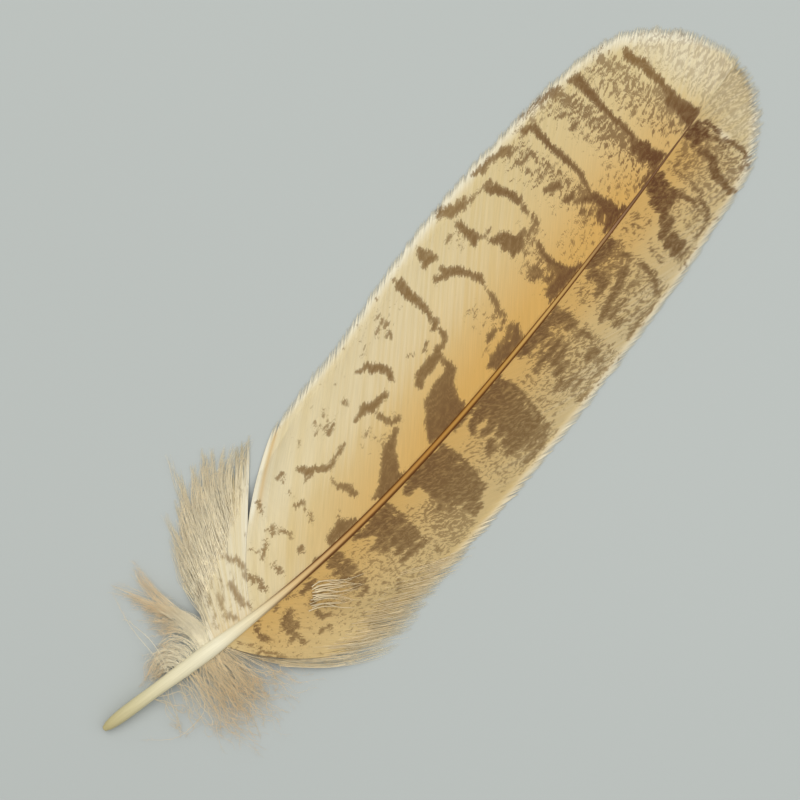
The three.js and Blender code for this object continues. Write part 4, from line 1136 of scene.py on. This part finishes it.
def narrowColour(s, d, along, root, chance):
    gold = 0.3 + 0.6 * hill(d, 0, 17) * smoothStep(s, 44, 58)
    gold = gold * (1 - 0.3 * smoothStep(s, 130, 190) * smoothStep(d, 6, 14))
    gold = gold * (1 - 0.85 * smoothStep(s, 246, 266))
    deep = 0.16 + 0.45 * hill(d, 0, 10) + 0.4 * smoothStep(s, 190, 235) - 0.15 * smoothStep(d, 15, 25)
    deep = deep - 0.3 * smoothStep(s, 258, 268)
    pale = 0.8 * smoothStep(along, 0.88, 0.98) + 0.3 * smoothStep(s, 252, 270)
    pale = pale + 0.25 * smoothStep(d, 12, 24) * smoothStep(s, 120, 180)
    pale = pale + 0.6 * hill(s, 258.8, 1.1) * hill(d, 9.8, 2.2)  # a small bare spot
    pale = pale + 0.2 * (barbNoise(chance, len(s), 1.2) - 0.5)
    return np.clip([gold, deep, pale - 0.2 * gold], 0, 1)


def looseColour(s, d, along, root, chance):
    gold = 0.12 + 0.45 * hill(d, 0, 6)
    streak = grainNoise(chance, *s.shape, 1.6, 8)
    pale = 0.4 + 0.4 * (streak - 0.5) + 0.4 * hill(root, 42, 1.2) + 0.5 * hill(root, 57.4, 1.2)
    return np.clip([gold, np.full(s.shape, 0.1), pale], 0, 1)


# What sets one vane off from another. Skip and skipEnd keep its barbs off the ends of its table. Wear and
# mottle break up the bars, and dashSlope and dashSize turn and stretch their dashes. QuickEnd and slowEnd
# are how uneven the margin is, in mm, from barb to barb and over many. FreeTip is how much of a barb is
# loose, in mm, and frayed makes that longer near the quill. Overlap is a barb's width over the spacing.
vaneLooks = [
    {
        "name": "wide_vane", "table": wideVane, "side": 1, "marks": wideMarks, "speckles": wideSpeckles,
        "colour": wideColour, "strength": wideStrength, "barbs": 590, "points": 54, "skip": 0.2,
        "skipEnd": 0.5, "seed": 11, "wear": 0.62, "mottle": 0.84, "dashSlope": -0.04, "dashSize": 1.2,
        "tone": 1.0, "quickEnd": 1.4, "slowEnd": 0.6, "freeTip": 3.2, "frayed": 0.7, "frayedTo": 130,
        "overlap": 1.5, "ridge": 0.17, "tilt": 0.2, "sway": 0.2, "clump": 0.09, "wave": 0.1, "tipLift": 0.06,
    },
    {
        "name": "narrow_vane", "table": narrowVane, "side": -1, "marks": narrowMarks,
        "speckles": narrowSpeckles, "colour": narrowColour, "strength": narrowStrength, "barbs": 590,
        "points": 52, "skip": 0, "skipEnd": 0.5, "seed": 12, "wear": 0.7, "mottle": 0.66,
        "dashSlope": -0.28, "dashSize": 0.76, "tone": 0.93, "quickEnd": 1.9, "slowEnd": 0.7, "freeTip": 3.8,
        "frayed": 2.8, "frayedTo": 72, "overlap": 1.5, "ridge": 0.17, "tilt": 0.2, "sway": 0.3,
        "clump": 0.24, "wave": 0.1, "tipLift": 0.1,
    },
    {
        "name": "loose_vane", "table": looseVane, "side": 1, "marks": wideMarks, "speckles": wideSpeckles,
        "colour": looseColour, "strength": looseStrength, "barbs": 230, "points": 44, "skip": 0,
        "skipEnd": 0.2, "seed": 13, "wear": 0.32, "mottle": 0.8, "dashSlope": 0.4, "dashSize": 1.2,
        "tone": 0.91, "quickEnd": 6, "slowEnd": 4, "freeTip": 12, "frayed": 0, "frayedTo": 70,
        "overlap": 4.6, "ridge": 0.09, "tilt": 0.15, "sway": 0.4, "clump": 0.5, "wave": 0.15,
        "tipLift": 0.25,
    },
]
for look in vaneLooks:
    makeVane(look)

# Locks of down on the quill: s and d of the root, of the bend and of the tip, and the share of strands.
leftLocks = [
    (41, 1, 41.6, 9.5, 38, 14.5, 0.4), (40.5, 1, 39.4, 13.8, 29.4, 25, 0.9), (40, 1, 38.4, 15, 28, 32.5, 1),
    (40.5, 1, 38, 16.4, 35.8, 33, 1), (41, 1, 39.2, 17, 37.8, 36.8, 0.12), (39, 1, 37.6, 12, 29.5, 19.5, 0.8),
    (38, 1, 36, 10, 28.5, 15.5, 0.5), (40, 1, 37, 15, 32, 22, 0.6), (37, 1, 33.5, 9, 26.5, 11, 0.25),
    (36, 1, 31, 7.6, 23, 8.5, 0.3), (35, 1, 30, 8, 21.5, 6.5, 0.3), (33, 1, 27, 7.4, 19, 4.5, 0.3),
    (31, 1, 25, 6.6, 17.2, 3.6, 0.25), (34, 1, 32, 6, 25, 5.5, 0.3), (30, 1, 27, 5, 21, 4, 0.3),
    (28, 1, 25, 4, 19, 2.6, 0.2), (32, 1, 29, 4.6, 23, 3, 0.25), (26, 1, 25.5, 16, 25, 33, 0.05),
]
rightLocks = [
    (19, -1, 22, -9, 24, -12, 0.1), (23, -1, 19, -11, 20, -17, 0.16), (29, -1, 21, -17, 7, -12.8, 0.05),
    (26, -1, 26, -10, 22, -20, 0.2), (30, -1, 27, -14, 26.9, -29, 0.25), (32, -1, 32, -12, 30, -24, 0.6),
    (34, -1, 31, -16, 31.9, -40.6, 0.25), (36, -1, 34, -15, 34, -32, 0.6), (37, -1, 37, -11, 36, -22, 1.2),
    (38, -1, 38, -14, 38, -28, 1), (40, -1, 40, -16, 44.2, -39.1, 0.3), (41, -1, 41, -11, 42, -22, 1.4),
    (42, -1, 43, -14, 46, -27, 0.9), (43, -1, 45, -15, 49.7, -30.9, 0.5), (44, -1, 48, -13, 54, -25, 0.6),
    (45, -1, 50, -15, 59.8, -31.4, 0.3),
]
# Tufts at a vane's margin: the barb, how far along it, s and d of the bend and the tip, and the share.
wideTufts = [
    (42.6, 0.75, 46, 20, 49, 31, 0.5), (43.4, 0.7, 48.5, 23, 51.8, 34, 0.8),
    (44.4, 0.68, 51, 26, 54.3, 41, 0.8), (45.2, 0.7, 53, 27, 57, 37, 0.9),
    (46, 0.72, 55, 29, 60, 41.5, 1), (46.8, 0.74, 57.5, 31.5, 63, 43.5, 1),
    (47.6, 0.75, 60, 33, 66.8, 48, 1), (48, 0.8, 61.3, 37.5, 67.9, 54.6, 0.24),
    (48.4, 0.76, 62.5, 34.5, 69.5, 44.5, 1), (49.2, 0.78, 65, 35.5, 72.2, 47.5, 1),
    (50, 0.8, 67.5, 36.5, 75, 45.5, 1), (50.8, 0.8, 70, 37, 78, 48, 1),
    (51.6, 0.8, 72.5, 37.5, 81, 47, 0.9), (52.6, 0.82, 75.5, 37.5, 84, 44.5, 0.8),
    (53.6, 0.84, 79, 37.5, 88, 43.5, 0.6), (54.8, 0.86, 84, 37.8, 93, 41.5, 0.4),
]

down = {
    "colours": {"tan": (240, 214, 164), "pale": (252, 244, 216), "warm": (242, 198, 132)},
    "surface": {
        "Roughness": 0.85,
        "Specular IOR Level": 0.15,
        "Sheen Weight": 0.4,
        "Sheen Tint": (1, 0.9, 0.74, 1),
    },
    "sag": 0.7,  # height of a down lock's bend over that of its root
    "tipHeight": 0.6,
    "bendHeights": 0.5,  # how much the heights of the strands' bends and tips vary
    "tipHeights": 0.4,
    "clearances": (0.12, 0.6),  # the least height over the surface, and how much more some have
    "thinner": (0.6, 1.15),
    "taper": (0.75, 1.5),  # how much thinner at the tip, and the power with which it comes
    "depth": 0.7,  # of the width
    "leans": (25, 60),  # degrees of the barbules off their strand
    "rises": (-0.35, 0.45),
    "longer": (0.5, 1.2),
}


# Its plumage attribute holds: how pale, how warm, a tone for each strand, and the ink of the vane's marks,
# with the narrow vane's streaks of painted shade.
def makeDownMaterial(name, shades):
    material, shader = newMaterial(name, down["surface"])
    pale, warm, strand, ink = readPlumage(material)
    colours = {key: linearColour(*value) for key, value in shades.items()}
    body = mixColours(material, pale, colours["tan"], colours["pale"])
    body = mixColours(material, warm, body, colours["warm"])
    body = mixColours(material, ink, body, linearColour(*plumage["brown"]))
    where = addNode(material, "ShaderNodeTexCoord").outputs["Object"]
    tone = mapRange(material, addNoise(material, where, 260, 3), 0.3, 0.7, 0.92, 1.06)
    tone = addMath(material, "MULTIPLY", tone, mapRange(material, strand, 0, 1, 0.84, 1.1))
    setColour(material, shader, body, tone)
    return material


# Barbules on given strands (n lines, m points, xyz), and the masks of the points they stand on.
def barbuleParts(chance, look, centres, masks):
    count, each = len(centres), look["barbules"]
    owner = np.repeat(np.arange(count), each)
    spot = np.clip(chance.uniform(look["bare"], 1, count * each), 0, 0.999)
    row = spot * (look["points"] - 1)
    low = row.astype(int)
    part = (row - low)[:, None]
    feet = centres[owner, low] * (1 - part) + centres[owner, low + 1] * part
    forward = centres[owner, low + 1] - centres[owner, low]
    forward /= np.linalg.norm(forward, axis=1, keepdims=True) + 1e-12
    left = np.where(chance.uniform(0, 1, len(owner)) < 0.5, -1, 1)[:, None]
    side = np.cross(forward, (0.0, 0.0, 1.0)) * left
    lean = np.radians(chance.uniform(*down["leans"], (len(owner), 1)))
    rise = chance.uniform(*down["rises"], (len(owner), 1)) * np.array([[0, 0, 1.0]])
    reach = look["barbuleLength"] * chance.uniform(*down["longer"], (len(owner), 1)) * mm
    tips = feet + (forward * np.cos(lean) + side * np.sin(lean) + rise) * reach
    tips[:, 2] = np.maximum(tips[:, 2], 0.05 * mm)
    places = np.stack([(owner + 0.5) / count, 0.002 + 0.99 * spot], axis=1)
    return spikeParts(feet, tips, look["barbuleWidth"], places, masks[owner, low])


# Strands of locks: rows hold the share of strands, then s, d and z of root, bend and tip.
def makeLocks(look, rows, material):
    chance = np.random.default_rng(look["seed"])
    rows = np.array(rows, float)
    each = np.maximum(np.round(rows[:, 0] * look["strands"]), 1).astype(int)
    rows = np.repeat(rows[:, 1:].reshape(-1, 3, 3), each, axis=0)
    count = len(rows)
    t = np.linspace(0, 1, look["points"])[None, :, None]

    def scatter(*widths):
        return np.hstack([np.clip(chance.standard_normal((count, 1)), -2.2, 2.2) * width for width in widths])

    def vary(low, high):
        return chance.uniform(low, high, (count, 1))

    root, bend, tip = (rows[:, i] for i in range(3))
    root[:, :1] += scatter(look["rootSpread"])
    bend += scatter(look["bendSpread"], look["bendSpread"], down["bendHeights"])
    tip += scatter(look["tipSpread"], look["tipSpread"], down["tipHeights"])
    shortest, longest = look["reach"]
    tip = root + (tip - root) * (longest - (longest - shortest) * vary(0, 1) ** 1.6)
    pull = 2 * bend - (root + tip) / 2
    lines = (1 - t) ** 2 * root[:, None] + 2 * (1 - t) * t * pull[:, None] + t**2 * tip[:, None]
    way = np.gradient(lines, axis=1)
    way /= np.linalg.norm(way, axis=2, keepdims=True) + 1e-9
    # waves across the strand and up and down, and one curl
    angle = math.tau * vary(*look["turns"])[..., None] * t
    phase = vary(0, math.tau)[..., None]
    size = vary(0.3, 1)[..., None] * look["wave"] * t
    swing = size * np.sin(angle + phase)
    swing += look["curl"] * np.sin(math.tau * t) * vary(0.4, 1.3)[..., None]
    lines = lines + np.stack([-way[..., 1], way[..., 0], 0 * way[..., 0]], axis=-1) * swing
    lines[..., 2] += (0.6 * size * np.cos(angle + 2 * phase))[..., 0]
    least, more = down["clearances"]
    lines[..., 2] = np.maximum(lines[..., 2], least + more * vary(0, 1))
    centres = place(lines[..., 0], lines[..., 1], lines[..., 2])
    share = t[..., 0]
    thinning, power = down["taper"]
    thin = look["width"] * (1 - thinning * share**power) * vary(*down["thinner"])
    pale = look["pale"][0] + (look["pale"][1] - look["pale"][0]) * share + 0 * thin
    warm = look["warm"] * smoothStep(share, 0.3, 0.9) * vary(0, 1)
    tone = np.broadcast_to(vary(look["dull"], 1), thin.shape)
    ink = np.zeros(thin.shape)
    if look["inked"]:
        marks = readInk(drawStrokes(look["marks"]), lines[..., 0], lines[..., 1])
        ink = look["inked"] * smoothStep(marks, 0.3, 0.6) * vary(0.3, 1)
    masks = np.stack([np.clip(pale, 0, 1), warm, tone, ink], axis=-1)
    strands = strandParts(centres, thin, thin * down["depth"], masks)
    joinedPiece(look["name"], [strands, barbuleParts(chance, look, centres, masks)], material)


def downRows(locks):
    rows = []
    for rootS, rootD, bendS, bendD, tipS, tipD, share in locks:
        z = float(shaftHeight(rootS))
        bendZ = z * down["sag"]
        rows.append([share, rootS, rootD, z, bendS, bendD, bendZ, tipS, tipD, down["tipHeight"]])
    return rows


tufts = {
    "roots": 0.9,  # how far to each side of a tuft's barb its strands begin
    "deeper": 0.26,  # how much nearer to the shaft some begin
    "under": 0.1,
    "bendLift": 0.25,
}


# Strands that leave a vane's barbs here and there, then run with them to the tips of tufts.
def tuftRows(table, side, rows, look):
    chance = np.random.default_rng(look["seed"])
    strands = []
    for barb, along, bendS, bendD, tipS, tipD, share in rows:
        for _ in range(max(round(share * look["strands"]), 1)):
            root = np.clip(barb + chance.uniform(-tufts["roots"], tufts["roots"]), table[0][0], table[-1][0])
            start = along - chance.uniform(0, tufts["deeper"])
            s, d = (float(value) for value in onBarb(table, np.array(root), start))
            z = float(barbHeight(root, start)) - tufts["under"]
            bendZ = float(barbHeight(root, (start + 1.2) / 2)) + tufts["bendLift"]
            strands.append([0, s, side * d, z, bendS, bendD, bendZ, tipS, tipD, down["tipHeight"]])
    return strands


fringe = {
    "roots": (43.6, 72),
    "count": 300,
    "crowding": 2,  # more of them near the quill
    "freeOver": 8,
    "from": 0.92,
    "slipped": 0.3,  # how much nearer to the shaft some leave the vane
    "free": (0.3, 0.88),  # the same for those nearest the quill
    "past": (-0.01, 0.08),
    "off": (-2, 4),
    "offBy": 3,  # all of that is reached a third of the way along
    "aside": 0.2,  # off its barb, at the tip
    "over": 0.2,  # height over the vane
    "drop": 0.4,  # how much lower those nearest the quill lie
    "seed": 25,
    # as the narrow vane is, and paler to the tips
    "colours": {"tan": (224, 200, 150), "pale": (246, 237, 208), "warm": (222, 188, 126)},
}


# Barbs that have slipped out of the narrow vane, from inside its margin to past it. Those that grow nearest
# the quill lie free along the vane's edge for their whole length.
def fringeRows(table, side):
    chance = np.random.default_rng(fringe["seed"])
    rows = []
    low, high = fringe["roots"]
    for share in np.linspace(0, 1, fringe["count"]):
        root = low + (high - low) * share ** fringe["crowding"]
        free = float(smoothStep(-root, -low - fringe["freeOver"], -low))
        start = fringe["from"] - chance.uniform(0, fringe["slipped"])
        start = max(start - free * chance.uniform(*fringe["free"]), 0.02)
        past = 1 + chance.uniform(*fringe["past"])
        off = free * chance.uniform(*fringe["off"])
        row = [1]
        for along in (start, (start + past) / 2, past):
            s, d = (float(value) for value in onBarb(table, np.array(root), along))
            z = (float(barbHeight(root, along)) + fringe["over"]) * (1 - fringe["drop"] * free)
            d = d + fringe["aside"] * along + off * min(along * fringe["offBy"], 1)
            row += [s, side * d, z]
        rows.append(row)
    return rows


ruffles = {
    "count": 8,
    "start": (72, -9),  # s and d where the first leaves the vane
    "step": (0.85, 0.7),
    "run": (10, -7),  # how far each goes, in s and d
    "bow": 0.3,
    "lift": 0.45,  # over the vane
    "margin": 28,  # how far off the shaft the vane's margin is
}


def ruffleRows():
    rows = []
    for number in range(ruffles["count"]):
        s, d = (start + number * step for start, step in zip(ruffles["start"], ruffles["step"]))
        row = [1]
        for part in (0, 0.5, 1):
            off = d + ruffles["run"][1] * part
            fall = 1 - (-off / ruffles["margin"]) ** vanes["camber"]
            rise = math.sin(math.pi * part)
            z = float(shaftHeight(s)) * fall + ruffles["lift"] * (1 + rise)
            row += [s + ruffles["run"][0] * part, off + ruffles["bow"] * rise, z]
        rows.append(row)
    return rows


downMaterial = makeDownMaterial("down_fibres", down["colours"])
barbMaterial = makeDownMaterial("loose_barbs", fringe["colours"])
# Strands is for a lock with a share of 1. The spreads, reach and turns set how much the strands differ, and
# wave and curl how far they bend. Pale goes from root to tip, dull is the least tone, and inked is how much
# of the vane's marks they carry. Their barbules begin at bare, as a share of the strand.
lockLooks = {
    "left": {
        "name": "left_down", "seed": 21, "strands": 38, "points": 18, "rootSpread": 0.7, "bendSpread": 0.9,
        "tipSpread": 1.1, "reach": (0.55, 1.0), "turns": (0.4, 1.2), "wave": 0.6, "width": 0.14,
        "curl": -0.9, "pale": (1.0, 0.55), "warm": 0.7, "dull": 0.45, "inked": 0, "barbules": 62,
        "barbuleLength": 1.5, "barbuleWidth": 0.012, "bare": 0.12,
    },
    "right": {
        "name": "right_down", "seed": 22, "strands": 26, "points": 18, "rootSpread": 1.2, "bendSpread": 2.3,
        "tipSpread": 2.4, "reach": (0.4, 1.0), "turns": (0.8, 3.0), "wave": 2.4, "width": 0.12,
        "curl": 0, "pale": (0.3, 0.05), "warm": 0.8, "dull": 0, "inked": 0, "barbules": 50,
        "barbuleLength": 1.5, "barbuleWidth": 0.012, "bare": 0.08,
    },
    "tufts": {
        "name": "margin_tufts", "seed": 23, "strands": 50, "points": 16, "rootSpread": 0.1,
        "bendSpread": 0.8, "tipSpread": 0.6, "reach": (0.45, 1.0), "turns": (0.3, 1.0), "wave": 0.35,
        "width": 0.15, "curl": 0, "pale": (0.8, 0.9), "warm": 0.25, "dull": 0, "inked": 0.6,
        "marks": wideMarks, "barbules": 18, "barbuleLength": 0.9, "barbuleWidth": 0.012, "bare": 0.3,
    },
    "fringe": {
        "name": "margin_fringe", "seed": 26, "strands": 1, "points": 18, "rootSpread": 0.2,
        "bendSpread": 0.2, "tipSpread": 0.4, "reach": (0.6, 1.0), "turns": (0.3, 0.8), "wave": 0.2,
        "width": 0.16, "curl": 0, "pale": (0.1, 1.0), "warm": 0.2, "dull": 0, "inked": 0.8,
        "marks": narrowMarks, "barbules": 14, "barbuleLength": 0.8, "barbuleWidth": 0.012, "bare": 0.3,
    },
    "ruffles": {
        "name": "ruffled_barbs", "seed": 24, "strands": 3, "points": 20, "rootSpread": 0.9,
        "bendSpread": 0.35, "tipSpread": 0.9, "reach": (0.55, 1.1), "turns": (0.5, 1.4), "wave": 0.3,
        "width": 0.34, "curl": 0.35, "pale": (0.4, 0.2), "warm": 0.4, "dull": 0, "inked": 0,
        "barbules": 24, "barbuleLength": 0.5, "barbuleWidth": 0.02, "bare": 0.1,
    },
}
makeLocks(lockLooks["left"], downRows(leftLocks), downMaterial)
makeLocks(lockLooks["right"], downRows(rightLocks), downMaterial)
makeLocks(lockLooks["tufts"], tuftRows(looseVane, 1, wideTufts, lockLooks["tufts"]), downMaterial)
makeLocks(lockLooks["fringe"], fringeRows(narrowVane, -1), barbMaterial)
makeLocks(lockLooks["ruffles"], ruffleRows(), barbMaterial)
